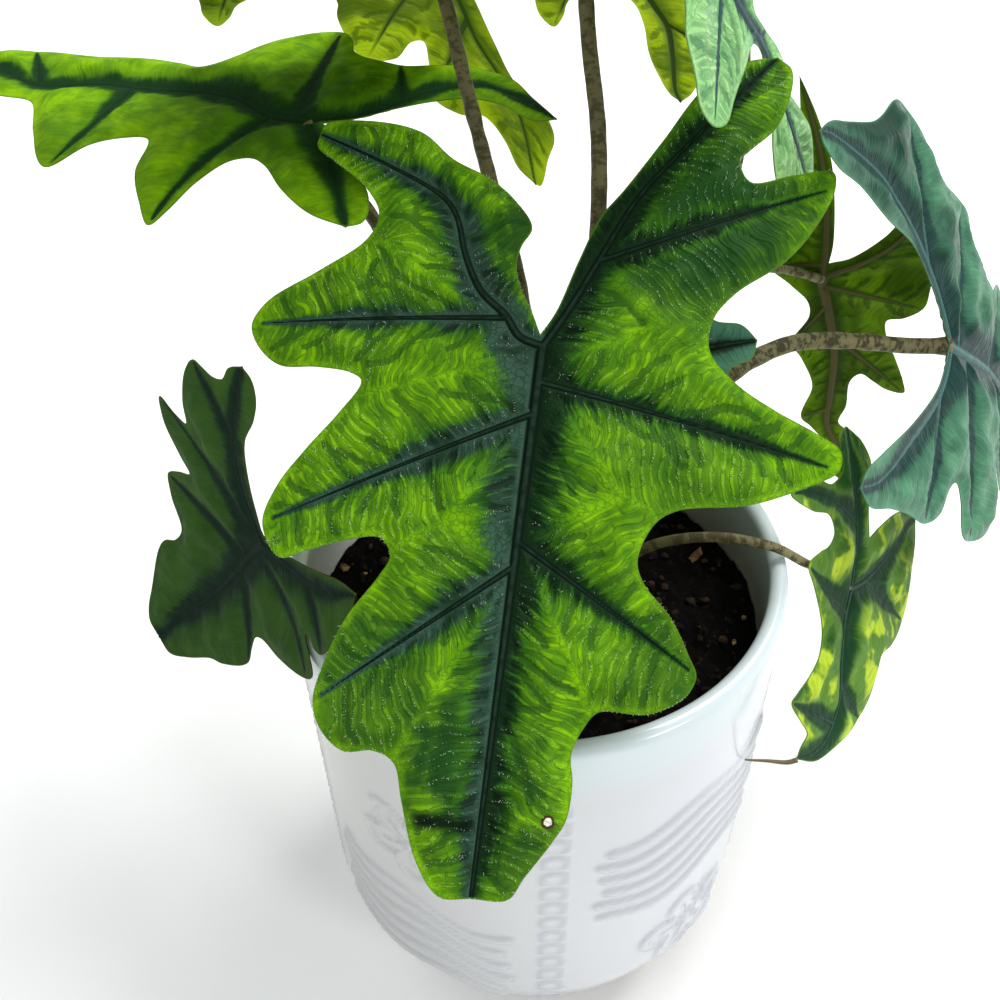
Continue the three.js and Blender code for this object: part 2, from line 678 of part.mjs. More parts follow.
// Blade: every sector is spread from its veins to the margin, so folds follow the veins and edges the lobes
function bladeGeometry(leaf) {
  const axes = leafAxes(leaf);
  const hub = vector(leaf.hub);
  const vertices = [];
  const known = new Map();
  const triangles = [];

  function vertex(point, fromRib) {
    const key = point.map((value) => value.toFixed(3)).join(' ');
    if (!known.has(key)) {
      known.set(key, vertices.length);
      const place = hub.clone().addScaledVector(axes.across, point[0]).addScaledVector(axes.along, point[1]);
      vertices.push({ point, place: place.addScaledVector(axes.out, bladeLift(leaf, point, fromRib)) });
    }
    return known.get(key);
  }

  function area(a, b, c) {
    const [p, q, r] = [vertices[a].point, vertices[b].point, vertices[c].point];
    return (q[0] - p[0]) * (r[1] - p[1]) - (r[0] - p[0]) * (q[1] - p[1]);
  }

  function triangle(a, b, c) {
    if (a === b || b === c || c === a) return;
    triangles.push(area(a, b, c) > 0 ? [a, b, c] : [a, c, b]);
  }

  // Two triangles between neighbouring columns, split across the diagonal that lies inside them
  function quad(a, b, c, d) {
    const firstSplitLiesInside = area(a, b, c) * area(a, c, d) >= 0;
    const [first, second] = firstSplitLiesInside ? [[a, b, c], [a, c, d]] : [[a, b, d], [b, c, d]];
    triangle(...first);
    triangle(...second);
  }

  // Side is 1 on the left half and -1 on the right half
  function fill({ path, margin }, side) {
    const pathShares = sharesOf(path);
    const marginShares = sharesOf(margin);
    const columns = margin.map((edge, i) => {
      const root = pointAtShare(path, pathShares, marginShares[i]);
      return Array.from({ length: RINGS }, (_, ring) => {
        const part = (ring + 1) / RINGS;
        return vertex(mix(root, edge, part), distance(root, edge) * part);
      });
    });
    for (let i = 1; i < columns.length; i += 1) {
      for (let ring = 1; ring < RINGS; ring += 1) {
        quad(columns[i - 1][ring - 1], columns[i - 1][ring], columns[i][ring], columns[i][ring - 1]);
      }
    }
    const roots = path.map((point) => vertex(point, 0));
    let r = 0;
    let c = 0;
    while (r < roots.length - 1 || c < columns.length - 1) {
      const rootLeft = r < roots.length - 1;
      const columnLeft = c < columns.length - 1;
      const rootIsNearer = rootLeft && (!columnLeft || pathShares[r + 1] <= marginShares[c + 1] + SAME_SHARE);
      const leavingTip = c === 0 && r > 0;
      const nearingTip = c === columns.length - 2 && r < roots.length - 2;
      const rootFolds = rootLeft && side * area(roots[r], roots[r + 1], columns[c][0]) < 0;
      const columnFolds = columnLeft && side * area(roots[r], columns[c][0], columns[c + 1][0]) > 0;
      const wanted = nearingTip || (rootIsNearer && !leavingTip);
      if (rootLeft && (wanted || columnFolds) && !(rootFolds && columnLeft && !columnFolds)) {
        triangle(roots[r], roots[r + 1], columns[c][0]);
        r += 1;
      } else {
        triangle(roots[r], columns[c][0], columns[c + 1][0]);
        c += 1;
      }
    }
  }

  for (const half of [leaf.left, leaf.right]) {
    const side = half === leaf.left ? 1 : -1;
    sectorsOf(leaf, half).forEach((sector) => fill(sector, side));
  }
  return thickened(vertices.map((entry) => entry.place), triangles);
}

// Gives a sheet of triangles its thickness, with the same triangles on both faces and a wall along its edge
function thickened(places, triangles) {
  const normals = places.map(() => new THREE.Vector3());
  const edges = new Set();
  for (const [a, b, c] of triangles) {
    const first = places[b].clone().sub(places[a]);
    const second = places[c].clone().sub(places[a]);
    const normal = first.cross(second);
    [a, b, c].forEach((i) => normals[i].add(normal));
    [[a, b], [b, c], [c, a]].forEach(([from, to]) => edges.add(`${from} ${to}`));
  }
  const count = places.length;
  const down = normals.map((normal) => normal.normalize().multiplyScalar(-BLADE_THICKNESS));
  const under = places.map((place, i) => place.clone().add(down[i]));
  const faces = triangles.flatMap(([a, b, c]) => [a, b, c, count + a, count + c, count + b]);
  for (const edge of edges) {
    const [from, to] = edge.split(' ').map(Number);
    if (!edges.has(`${to} ${from}`)) {
      faces.push(from, count + from, count + to, from, count + to, to);
    }
  }
  return indexedGeometry([...places, ...under].flatMap((place) => place.toArray()), faces);
}

const plant = new THREE.Group();
plant.add(named('pot', potGeometry(), MATERIALS.glaze));
plant.add(named('soil', soilGeometry(), MATERIALS.soil));
for (const leaf of LEAVES) {
  plant.add(named(`${leaf.name}_blade`, bladeGeometry(leaf), MATERIALS.lamina));
  plant.add(named(`${leaf.name}_petiole`, petioleGeometry(leaf), MATERIALS.petiole));
}

export default plant;
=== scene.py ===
# A potted alocasia in a white relief-glazed cylinder pot: its finished surfaces, colours, light and camera.
# Shapes are worked out in millimetres and made in metres. The origin is the middle of the pot's foot.
import itertools
import math

import bpy
import numpy as np
from mathutils import Matrix, Vector, geometry, kdtree


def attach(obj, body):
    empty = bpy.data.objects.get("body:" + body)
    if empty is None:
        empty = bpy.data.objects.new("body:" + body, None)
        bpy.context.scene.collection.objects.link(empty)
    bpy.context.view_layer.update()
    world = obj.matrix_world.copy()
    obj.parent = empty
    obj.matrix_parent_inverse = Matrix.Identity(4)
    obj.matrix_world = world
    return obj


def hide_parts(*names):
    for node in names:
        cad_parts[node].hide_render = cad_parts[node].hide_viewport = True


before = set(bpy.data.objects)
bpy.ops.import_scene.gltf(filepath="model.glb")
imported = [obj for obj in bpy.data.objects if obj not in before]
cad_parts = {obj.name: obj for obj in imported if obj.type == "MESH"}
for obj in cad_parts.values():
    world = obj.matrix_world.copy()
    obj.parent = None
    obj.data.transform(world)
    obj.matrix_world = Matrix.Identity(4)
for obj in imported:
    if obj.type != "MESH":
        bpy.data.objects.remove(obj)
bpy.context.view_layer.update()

MM = 0.001
FAR_AWAY = 1e9

# Driving sizes of the pot, in millimetres
POT_HEIGHT = 160
POT_RADIUS = 70
POT_WALL = 5.2
POT_FLOOR = 8
POT_FOOT_RADIUS = 29
POT_COLUMNS = 440
POT_ROW = 1.0
POT_FOOT_ROW = 3
POT_LIP_ROW = 0.8
POT_INSIDE_ROW = 4

# Relief of the pot: how high, and how wide its ridges and figures are. Levels are measured up its side.
RELIEF = 1.3
RIDGE_HALF = 1.6
RELIEF_FROM = (34, 48)
RELIEF_TO = (154, 164)
POT_PANELS = 5
PANEL_START = 0.28
PETAL_REACH = 17
BLOSSOM_HEART = 1.6
THREAD_REACH = 3.8
WAVES_IN_GROUP = 6
WAVE_PITCH = 7.5
WAVE_HALF = 33
WAVE_BEND = 2.6
SCALLOP_PITCH = 8
SCALLOP_REACH = 3.4
SCALLOP_SHARE = 0.35

# Driving sizes of the soil and its crumbs, in millimetres. A bump is its height, its width and its seed.
SOIL_HEIGHT = 136
SOIL_CROWN = 3
SOIL_RADIUS = 64.4
SOIL_GAP = 0.4
SOIL_RINGS = 70
SOIL_COLUMNS = 220
SOIL_BUMPS = ((1.1, 9, 31), (0.7, 3.2, 32), (0.35, 1.5, 33))
SOIL_SUNK = 0.6
SOIL_FOOT_ROW = 6
SOIL_SIDE_ROW = 9
CRUMBS = 520
CRUMB_SEED = 7
CRUMB_SIZES = (0.5, 1.9)
CRUMB_SPANS = ((0.7, 1.2), (0.5, 1), (0.35, 0.7))
CRUMB_INSET = 2.5
CHIP_EVERY = 14
CHIP_SCALE = 1.25
CHIP_SPANS = ((0.7, 1.9), (0.5, 1), (0.35, 0.7))

# Driving sizes shared by all leaves, in millimetres. A vein has its half width at the root and at the tip,
# then the reach of the dark band round it at the root and at the tip. Ribs and midrib start at the hub.
HUB = (0, 0)
MIDRIB_SIZES = (1.65, 0.5, 10.5, 3)
RIB_SIZES = (1.1, 0.28, 8, 1.4)
LOBE_VEIN_SIZES = (0.8, 0.15, 5.6, 0.6)
VEIN_POINTS = 24
MIDRIB_PIECES = 12
RIB_PIECES = 8
VEIN_RUN_STEP = 37.3
MARGIN_PIECES = 10
MARGIN_GAP = 0.12
RIM_THICKNESS = 0.3
BLADE_THICKNESS = 0.62
WAVE_REACH = 30
WAVE_REACH_MOST = 45
WAVE_ACROSS = 9
WAVE_ALONG = 14
COARSE_GRID = 1.7
QUILT_BELOW = 0.4
QUILT_WIDTH = 6.5
SWELL = 0.45
RIB_HEIGHT = 1.0
GROOVE_DEPTH = 0.36
CREST_HEIGHT = 0.16
CREASE_SEED = 12
CREASE_SPACING = 7
CREASE_END = 5
CREASE_ANGLES = (50, 75)
CREASE_LENGTHS = (7, 22)
CREASE_STEP = 0.4
CREASE_DEPTH = 0.4
CREASE_WIDTH = 0.75
CREASE_FAR = 9
UNDERSIDE_PLACE = 9.0
VEINLETS_ABOVE = 0.5

# Hairs, the spot and the painted shade of a fold on the front leaf, and the drip tip of the hanging leaf,
# in millimetres
HAIR_SEED = 21
HAIR_PATCH = 20
RIDGE_HAIRS = 3800
RIM_HAIRS = 500
HAIR_LEAN = 0.4
HAIR_LENGTHS = (0.35, 1.0)
HAIR_RADII = (0.05, 0.085)
HAIR_ROOT = 0.1
SPOT_LEAF = "leaf_front"
SPOT_PLACE = (-14.6, 108.7, 0)
FOLD_SHADE_ALONG = 112
FOLD_SHADE_FROM = 2
FOLD_SHADE_TO = 15
FOLD_SHADE_SOFT = 1.5
DRIP_TIP = [(0, 0, 0), (-2.5, -0.2, -0.8), (-8.5, 0, -0.2), (-13, 0.2, 0), (-16.3, 0.5, 0.3)]
DRIP_BELOW = 0.9
DRIP_RADIUS = 0.75
DRIP_TAPER = 0.55
DRIP_SIDES = 10
DRIP_PIECES = 12
DRIP_ROW = 0.7

# Petioles, in millimetres
PETIOLE_SEED = 40
PETIOLE_BELOW = 2.2
PETIOLE_SIDES = 22
PETIOLE_ROW = 1.1
PETIOLE_PIECES = 14
PETIOLE_FOOT_HEIGHT = 119
PETIOLE_KNOBBLE = 0.035
PETIOLE_FLARE = 0.22

# Colours, linear. A pair is the two ends of a mix.
SPOT_RING = (0.05, 0.025, 0.008)
SPOT_MIDDLE = (0.75, 0.72, 0.62)
HAIR_COLOURS = (0.75, 0.85, 0.6), (0.9, 0.95, 0.85)
DRY_COLOURS = (0.06, 0.045, 0.015), (0.2, 0.15, 0.07)
# Painted shade and painted light of the petioles, at the left and at the right
PETIOLE_SHADED = (0.115, 0.1, 0.042)
PETIOLE_SUNNY = (0.22, 0.2, 0.095)
PETIOLE_DARK = (0.034, 0.027, 0.009)
PETIOLE_MIDDLE = (0.16, 0.15, 0.07)
# Painted shade on the pot's left and painted light on its right
GLAZE_SHADED_LEFT = (0.545, 0.55, 0.525)
GLAZE_LIT_RIGHT = (0.575, 0.6, 0.645)
GLAZE_CLOUD = (0.61, 0.615, 0.625)
GLAZE_AQUA = (0.58, 0.68, 0.7)
# Painted shade at the foot of the relief's ridges
GLAZE_RELIEF_SHADE = (0.4, 0.42, 0.46)
GLAZE_SPECK = (0.45, 0.42, 0.38)
# Painted light inside the pot at the left
GLAZE_INSIDE_LIT = (0.93, 0.95, 0.92)
# Painted shade inside the pot at the right, grey-brown towards the soil
INSIDE_SHADE_BROWN = (0.36, 0.33, 0.26)
SOIL_COLOURS = (0.0025, 0.002, 0.0018), (0.022, 0.013, 0.007)
CRUMB_COLOURS = (0.008, 0.006, 0.005), (0.05, 0.028, 0.015)
CHIP_COLOURS = (0.12, 0.06, 0.025), (0.4, 0.26, 0.13)
FLOOR_COLOURS = (0.96, 0.96, 0.96), (0.98, 0.98, 0.98)
FLOOR_HALF = 6000

# Camera, as the photograph was taken
CAMERA_PLACE = (-0.0101, -0.2058, 0.3552)
CAMERA_PITCH_DOWN = 40.8
CAMERA_ROLL = -1.1
CAMERA_LENS = 36
CAMERA_SENSOR = 36
CAMERA_NEAR = 0.01

# Light
SKY_COLOUR = (0.96, 0.98, 1, 1)
SKY_LOW = 0.38
SKY_HIGH = 0.9
LAMP_COLOUR = (1, 0.99, 0.97)
WINDOW_POWER = 2.5
WINDOW_SPREAD = 30
WINDOW_FROM = (0.5, 0.4, 1)
FILL_POWER = 0.8
FILL_SPREAD = 14
FILL_FROM = (0.8, -0.7, 0.5)

# Front leaf, seen from its top
FRONT = dict(
    name="leaf_front", hub=(0.9, 0.1, 226.4), heading=-100.8, pitch=-36.2, roll=-4, cup=(0.16, 0.16),
    droop=0.02, back=(0.08, -0.05), wave=0.6, sinus=(1, -3), petiole_radius=(2.9, 2.3),
    midrib=[(0, 60), (0, 127)],
    left=dict(
        rib=[(6, -2), (10, -7), (17, -13), (22, -22), (26, -33), (30, -38), (46, -47), (67, -57)],
        outer=[
            (7, 127.5), (13, 121), (18, 109), (21, 101), (26, 99), (33, 100), (39, 96), (42, 90, 54),
            (41, 82), (37, 70), (31, 60), (29, 55), (32, 51), (39, 52), (50, 56), (56, 58), (62, 50, 17),
            (60, 41), (54, 31), (47, 21), (43, 13), (46, 11), (55, 10), (65, 10), (72, 5), (75, -1, -12),
            (72, -7), (59, -16), (48, -25), (46, -32), (51, -40), (61, -48), (67, -53),
        ],
        inner=[
            (66, -60), (54, -60.5), (39, -57), (29, -49), (19, -44), (12, -38.5), (6.5, -31), (8.5, -25.5),
            (9, -20), (7, -14), (4, -9),
        ],
    ),
    right=dict(
        rib=[(-5, -10), (-11, -24), (-19, -42), (-30, -58), (-50, -85)],
        outer=[
            (-8, 126), (-11, 121), (-16, 113), (-18.5, 108), (-19, 100), (-18, 94), (-20, 88), (-23, 84),
            (-34, 83), (-42, 78), (-44, 73, 48), (-42, 69), (-37, 61), (-30, 54), (-28, 49), (-31, 40),
            (-36, 36), (-53, 32), (-67, 25), (-74, 20, 9), (-74, 15), (-68, 12), (-57, 8), (-47, 3),
            (-40, -4), (-40, -12), (-45, -20), (-57, -31), (-64, -42), (-68, -53, -26), (-67, -57),
            (-57, -54), (-46, -50), (-43, -55), (-45, -58), (-52, -67), (-54, -82),
        ],
        inner=[(-42, -82), (-32, -73), (-23, -57), (-15, -43), (-10, -35), (-6, -23), (-2, -9)],
    ),
    petiole=[(2, 14), (2, 15, 140), (2, 13, 180), (1.5, 5, 212)],
)

# Left leaf, held out level over the front left
LEFT = dict(
    name="leaf_left", hub=(-64.9, 88.8, 249.7), heading=165, pitch=-3, roll=-8, cup=(0, 0), droop=0,
    back=(0, 0), wave=1.2, sinus=(0, -4), petiole_radius=(2.7, 1.9),
    midrib=[(3, 12), (13, 27), (17, 42), (18, 61), (21, 80), (19, 102), (29, 123), (31, 141)],
    left=dict(
        rib=[(6, -18), (19, -32), (24, -46), (17, -60), (5, -74)],
        outer=[
            (38, 138), (42, 130), (43, 118, 106), (40, 99), (38, 73), (34, 57), (32, 49), (40, 38),
            (52, 29), (59, 10, 4), (53, 4), (43, -1), (36, -18, -30), (34, -41), (28, -55), (16, -65),
        ],
        inner=[(3, -68), (12, -56), (15, -46), (13, -36), (8, -24), (2, -14)],
    ),
    right=dict(
        rib=[(-12, -8), (-23, -16), (-42, -26), (-52, -31)],
        outer=[
            (20, 132), (11, 113), (7, 98), (-11, 86), (-30, 70, 71), (-18, 63), (-14, 54), (-15, 44),
            (-31, 40), (-46, 31), (-56, 23, 12, 5), (-49, 21), (-35, 19), (-24, 14), (-22, 8), (-25, 3),
            (-38, -8), (-48, -20),
        ],
        inner=[(-50, -35), (-39, -33), (-25, -24), (-12, -15), (-4, -9)],
    ),
    petiole=[(-10, 18), (-11, 20, 140), (-22, 38, 185), (-42, 66, 222), (-57, 82, 239)],
)

# Low leaf on the left, hanging over the rim on its edge
LOW = dict(
    name="leaf_low", hub=(-73.6, -11.5, 173.3), heading=138, pitch=-49, roll=-85, cup=(-0.17, -0.8),
    droop=-0.19, back=(0.2, 0.2), wave=1, sinus=(1, -3), petiole_radius=(2.2, 1.5),
    midrib=[(0, 11), (-2, 39), (-2, 69), (-3, 84)],
    left=dict(
        rib=[(12, -6), (23, -17), (31, -32), (35, -42)],
        outer=[
            (3, 83), (7, 79), (11, 72), (19, 57), (20, 51), (18, 46), (19, 38), (28, 31), (33, 25, 14),
            (31, 19), (28, 13), (33, 11), (42, 6), (47, -2, 2), (42, -2), (37, -4), (41, -12), (45, -23),
            (45, -28, -32), (42, -29), (39, -30), (36.5, -33), (37, -38),
        ],
        inner=[(31, -42), (27, -39), (24, -33), (22, -24), (15, -15), (6, -7)],
    ),
    right=dict(
        rib=[(-8, -8), (-16, -18), (-21, -28), (-24, -38)],
        outer=[
            (-9, 82), (-14, 72), (-18, 59), (-21.5, 52), (-25, 37, 20), (-22, 33), (-20, 29), (-21, 24),
            (-28, 14), (-36, -5, 6), (-36, -10), (-31, -8.5), (-26.5, -7.5), (-26.5, -10.5), (-30, -12),
            (-32.5, -16, -22), (-31.5, -25), (-28, -34),
        ],
        inner=[(-19, -32), (-14, -23), (-7, -12)],
    ),
    petiole=[(-12, 4), (-14, 6, 140), (-26, 13, 162), (-44, 12, 176), (-61, 1, 179)],
)

# Right leaf, seen from its top as it leans out of the picture
RIGHT = dict(
    name="leaf_right", hub=(130.6, 55.1, 189.1), heading=34.6, pitch=-35.7, roll=55.6, cup=(0.05, 0.05),
    droop=0.1, back=(0, 0), wave=1.2, sinus=(0, -3), petiole_radius=(2.9, 2.4),
    midrib=[(0, 7), (-2, 43), (0, 80), (0, 108)],
    left=dict(
        rib=[(10, -4), (19, -11), (35, -31), (49, -51), (53, -64)],
        outer=[
            (6, 104), (12, 95), (15, 84), (20, 76), (30, 72), (36, 66, 44), (33, 57), (25, 48), (28, 44),
            (34, 44), (43, 46), (52, 42), (58, 24, 12), (57, 13), (47, 10), (42, 6), (44, 0), (53, -8),
            (57, -18, -20), (56, -34), (56, -45), (57, -58),
        ],
        inner=[(48, -61), (42, -52), (30, -31), (16, -12), (9, -7), (3, -4)],
    ),
    right=dict(
        rib=[(-10, -8), (-18, -17), (-27, -32), (-31, -43), (-34, -54), (-33, -86), (-31, -93)],
        outer=[
            (-8, 104), (-14, 94), (-15, 84), (-20, 74), (-32, 69), (-38, 62, 40), (-34, 52), (-27, 45),
            (-31, 38), (-36, 29), (-41, 20), (-49, 17), (-51, 10, 6), (-50, -5), (-54, -14), (-60, -24),
            (-63, -34, -28), (-61, -44), (-52, -54), (-47, -61), (-40, -77), (-36, -87),
        ],
        inner=[(-28, -91), (-25, -84), (-25, -70), (-22, -52), (-21, -32), (-14, -19), (-7, -10)],
    ),
    petiole=[
        (15, 12), (16, 13, 140), (36, 28, 172), (59, 44, 187), (78, 52, 192.5), (97, 54, 192),
        (116, 57, 188),
    ],
)

# Small hanging leaf in front on the right, with a curled drip tip
HANGING = dict(
    name="leaf_hanging", hub=(97.6, 5.8, 133.6), heading=249, pitch=-30, roll=-66, cup=(0, 0), droop=0,
    back=(0, 0), wave=0.8, sinus=(-5, -19), petiole_radius=(1.8, 1.1),
    midrib=[(0, 10), (-4, 21), (-9, 33), (-5, 45), (4, 52), (15, 56)],
    left=dict(
        rib=[(4, -15), (16, -29), (31, -40)],
        outer=[
            (14, 52), (12, 48), (18, 46), (27, 43, 42), (25, 40), (19, 32), (16, 26), (18, 19), (29, 10),
            (36, 6, 8), (31, 0), (26, -4), (24, -9), (29, -12), (42, -8), (58, -6, -20, -4), (50, -13),
            (44, -17), (32, -21), (28, -28), (36, -34),
        ],
        inner=[(22, -41), (7, -38), (1, -27)],
    ),
    right=dict(
        rib=[(-11, -7), (-33, -28), (-40, -38), (-48, -44)],
        outer=[
            (0, 53), (-15, 44), (-29, 33, 30), (-35, 22), (-37, 10), (-46, 3), (-54, -8, -13), (-52, -28),
            (-51, -36),
        ],
        inner=[(-32, -40), (-23, -35), (-11, -25)],
    ),
    petiole=[
        (14, 1), (15, 1, 140), (32, -1, 160), (48, -4, 166), (64, -7, 165), (76, -5, 156), (88, 3, 144),
    ],
)

# Leaf behind on the right, hanging straight down with its underside to the front
BEHIND = dict(
    name="leaf_behind", hub=(109.9, 127.2, 174.7), heading=90, pitch=-80, roll=0, cup=(0, 0), droop=0,
    back=(0, 0), wave=1.2, sinus=(1.5, -6), petiole_radius=(2.2, 1.5),
    midrib=[(5, 12), (14, 37), (18, 60), (21, 78), (31, 97), (41, 120)],
    left=dict(
        rib=[(13, -6), (22, -13), (29, -25), (31, -31)],
        outer=[
            (49, 112), (39, 90), (26, 78, 83), (27, 69), (25, 54), (28, 50), (34, 54), (41, 59),
            (49, 61, 30), (47, 55), (40, 42), (33, 30), (31, 22), (37, 21), (43, 16, 4), (43, 8), (40, -5),
            (36, -18),
        ],
        inner=[(24, -26), (19, -17), (9, -8)],
    ),
    right=dict(
        rib=[(-2, -16), (-11, -48), (-23, -74), (-25, -78)],
        outer=[
            (31, 111), (23, 91), (15, 81), (9, 74, 72), (10, 57), (2, 41), (-4, 32, 14), (0, 19), (-2, 12),
            (-10, 4), (-20, -6, -6), (-14, -12), (-11, -24), (-17, -48), (-22, -66),
        ],
        inner=[(-21, -72), (-15, -62), (-7, -46), (1, -15)],
    ),
    petiole=[(13, 22), (14, 23, 140), (28, 52, 176), (48, 84, 188), (70, 106, 188), (91, 117, 183)],
)

# High leaf at the back left: its left back lobe hangs down, seen from below
HIGH_LEFT = dict(
    name="leaf_high_left", hub=(-26.9, 104.1, 293.4), heading=199, pitch=12, roll=27, cup=(0.19, 0.19),
    droop=0.07, back=(1.19, 0.3), wave=0.8, sinus=(1, -4), petiole_radius=(2.4, 1.9),
    midrib=[(1, 40), (0, 80), (0, 125)],
    left=dict(
        rib=[(15, -10), (30, -21), (41, -31), (45, -40), (50, -50), (65, -63)],
        outer=[
            (8, 124), (13, 118), (18, 106), (22, 99), (33, 99), (41, 92, 54), (40, 82), (37, 70), (42, 60),
            (57, 55), (65, 53), (71, 48, 26, 7), (66, 45), (57, 43), (46, 28), (45, 18), (52, 13),
            (61, 11), (73, 5), (85, -5, -12), (79, -14), (66, -16), (62, -19), (71, -24), (85, -31, -42),
            (81, -39), (69, -45), (68, -52), (70, -58),
        ],
        inner=[(62, -64), (50, -61), (39, -58), (37, -54), (41, -44), (35, -34), (25, -24), (12, -13)],
    ),
    right=dict(
        rib=[(-7, -6), (-16, -12), (-26, -18)],
        outer=[
            (-9, 121), (-17, 109), (-18, 95), (-24, 84), (-36, 83), (-45, 74, 50), (-39, 62), (-30, 52),
            (-33, 41), (-52, 36), (-72, 24, 12), (-66, 14), (-52, 8), (-42, 2), (-37, -6), (-32, -13),
        ],
        inner=[(-23, -22), (-15, -17), (-7, -10)],
    ),
    petiole=[
        (4, 25), (4, 27, 140), (1, 38, 185), (-4, 52, 218), (-11, 64, 240), (-17, 74, 262), (-22, 86, 280),
    ],
)

# High leaf at the back right, seen from below, with its tip towards the right
HIGH_RIGHT = dict(
    name="leaf_high_right", hub=(14, 75, 305), heading=57, pitch=-35, roll=-1, cup=(0.33, 0.33),
    droop=0.12, back=(0.2, 0.2), wave=0.7, sinus=(0.5, -4), petiole_radius=(2.4, 2),
    midrib=[(2, 25), (4, 47), (5, 57), (2, 75), (-2, 95), (-2, 103)],
    left=dict(
        rib=[(4, -8), (10, -18), (18, -30)],
        outer=[
            (2, 99), (7, 91), (13, 83), (20, 80), (25, 74, 56), (22, 64), (17, 54), (16, 44), (22, 38),
            (24, 31, 22), (20, 24), (16, 14), (19, 5), (20, -4, -5), (17, -12), (18, -22),
        ],
        inner=[(14, -30), (7, -20), (2, -10)],
    ),
    right=dict(
        rib=[(-3, -9), (-6, -20), (-10, -34)],
        outer=[
            (-5, 100), (-7, 88), (-7, 77), (-4, 60), (-4, 48), (-10, 41), (-19, 43), (-25, 49), (-29, 56),
            (-34, 61, 8), (-36, 55), (-35, 48), (-31, 39), (-22, 31), (-14, 25), (-10, 16), (-11, 6),
            (-10, -4), (-10, -14), (-14, -24),
        ],
        inner=[(-5, -28), (-1.5, -14)],
    ),
    petiole=[
        (11, 32), (11.5, 32, 140), (14, 31, 190), (16.5, 35, 235), (17, 50, 258), (15, 65, 276),
        (14, 72, 289),
    ],
)

# Nearest leaf at the top right, hanging with its top to the front
TOP = dict(
    name="leaf_top", hub=(40.5, 49.3, 306), heading=2.4, pitch=-67.8, roll=30.3, cup=(0, 0), droop=0,
    back=(0.2, 0.2), wave=0.8, sinus=(1, -3), petiole_radius=(2.4, 1.9),
    midrib=[(-2, 14), (-8, 26), (-14, 36), (-17, 46), (-20, 60), (-22, 78), (-20, 90)],
    left=dict(
        rib=[(6, -7), (13, -15), (20, -23), (26, -31)],
        outer=[
            (-14, 87), (-5, 78), (0, 66), (-3, 59), (-7, 55, 57), (-9, 50), (-10.5, 44, 46), (-12.5, 38),
            (-8, 32.5, 33), (3, 34), (13, 36), (20, 38), (27, 35, 10), (32, 27), (30, 20), (29, 12),
            (25, 6), (28, -2), (35, -8, -8), (31, -16), (26, -20), (29, -27),
        ],
        inner=[(22, -31), (15, -25), (8, -17), (3, -9)],
    ),
    right=dict(
        rib=[(-5, -8), (-11, -18), (-20, -29), (-29, -38)],
        outer=[
            (-27, 83), (-33, 71), (-30, 64), (-23, 52, 56), (-24, 45), (-18, 34, 36), (-13, 26), (-17, 19),
            (-27, 15), (-33, 8, 4), (-27, 1), (-22, -5), (-28, -13), (-36, -18, -14), (-30, -24),
            (-31, -31),
        ],
        inner=[(-23, -38), (-14, -29), (-7, -19), (-2, -9)],
    ),
    petiole=[
        (20, 20), (21, 21, 140), (36, 38, 180), (52, 60, 220), (60, 75, 250), (54, 74, 280), (39, 62, 298),
    ],
)

# Young small leaf in the middle, almost hidden by the front leaf
YOUNG = dict(
    name="leaf_young", hub=(27, 16, 211), heading=5, pitch=12, roll=30, cup=(0.2, 0.2), droop=0.4,
    back=(0.3, 0.3), wave=0.3, sinus=(0, -2), petiole_radius=(1.5, 1),
    midrib=[(0, 16), (0, 32)],
    left=dict(
        rib=[(4, -5), (8, -11), (13, -17)],
        outer=[
            (5, 29), (7, 23), (10, 20), (11, 16, 8), (9, 11), (12, 6), (15, 1, -2), (13, -5), (13, -9),
            (15, -14),
        ],
        inner=[(10, -17), (5, -11), (2, -6)],
    ),
    right=dict(
        rib=[(-3, -5), (-7, -11), (-11, -18)],
        outer=[
            (-5, 29), (-7, 23), (-10, 20), (-11, 16, 8), (-9, 11), (-12, 6), (-14, 0, -2), (-12, -6),
            (-13, -13),
        ],
        inner=[(-8, -17), (-4, -11), (-1, -6)],
    ),
    petiole=[(23, 9), (23.5, 9, 140), (25, 11, 180), (27, 13, 200)],
)

LEAVES = [FRONT, LEFT, LOW, RIGHT, HANGING, BEHIND, HIGH_LEFT, HIGH_RIGHT, TOP, YOUNG]

# How each leaf looks: colours are linear, sizes in millimetres. A shade is a soft darker patch of painted
# shade, where the blade turns away from the light, together with the leaf's own darker tone: its middle
# across and along the leaf, its radius, and how dark it is. The sheen is a painted reflection on the bands
# at the leaf's left side.
VIVID = dict(
    lamina=(0.2, 0.46, 0.003), middle=(0.05, 0.18, 0.004), deep=(0.014, 0.062, 0.01),
    # The sheen colour is a painted reflection
    band=(0.007, 0.026, 0.008), sheen=(0.04, 0.092, 0.062), vein=(0.002, 0.0085, 0.004),
    crest=(0.013, 0.031, 0.019), rim=(0.09, 0.2, 0.01),
    under=(0.22, 0.38, 0.006), under_deep=(0.06, 0.13, 0.003), under_vein=(0.05, 0.07, 0.02),
    shades=[(-34, -38, 40, 1.0), (5, 99, 21, 1.0), (-12, 118, 14, 0.7), (-42, 74, 24, 0.6),
            (30, 82, 24, 0.6), (8, 60, 18, 0.4), (-34, 26, 22, 0.35), (9, -30, 13, 0.9)],
    band_width=1.0, feather=1.5, quilt=2.5, ridge=0.18, ridge_step=2.5, lift=0.0, grid=0.56,
    fine_side="top", roughness=0.42, gloss=0.035, blotch=False, lines=1.0,
)


def look(**changes):
    plain = dict(shades=[], feather=0.6, sheen=changes.get("band", VIVID["band"]))
    return {**VIVID, **plain, **changes}


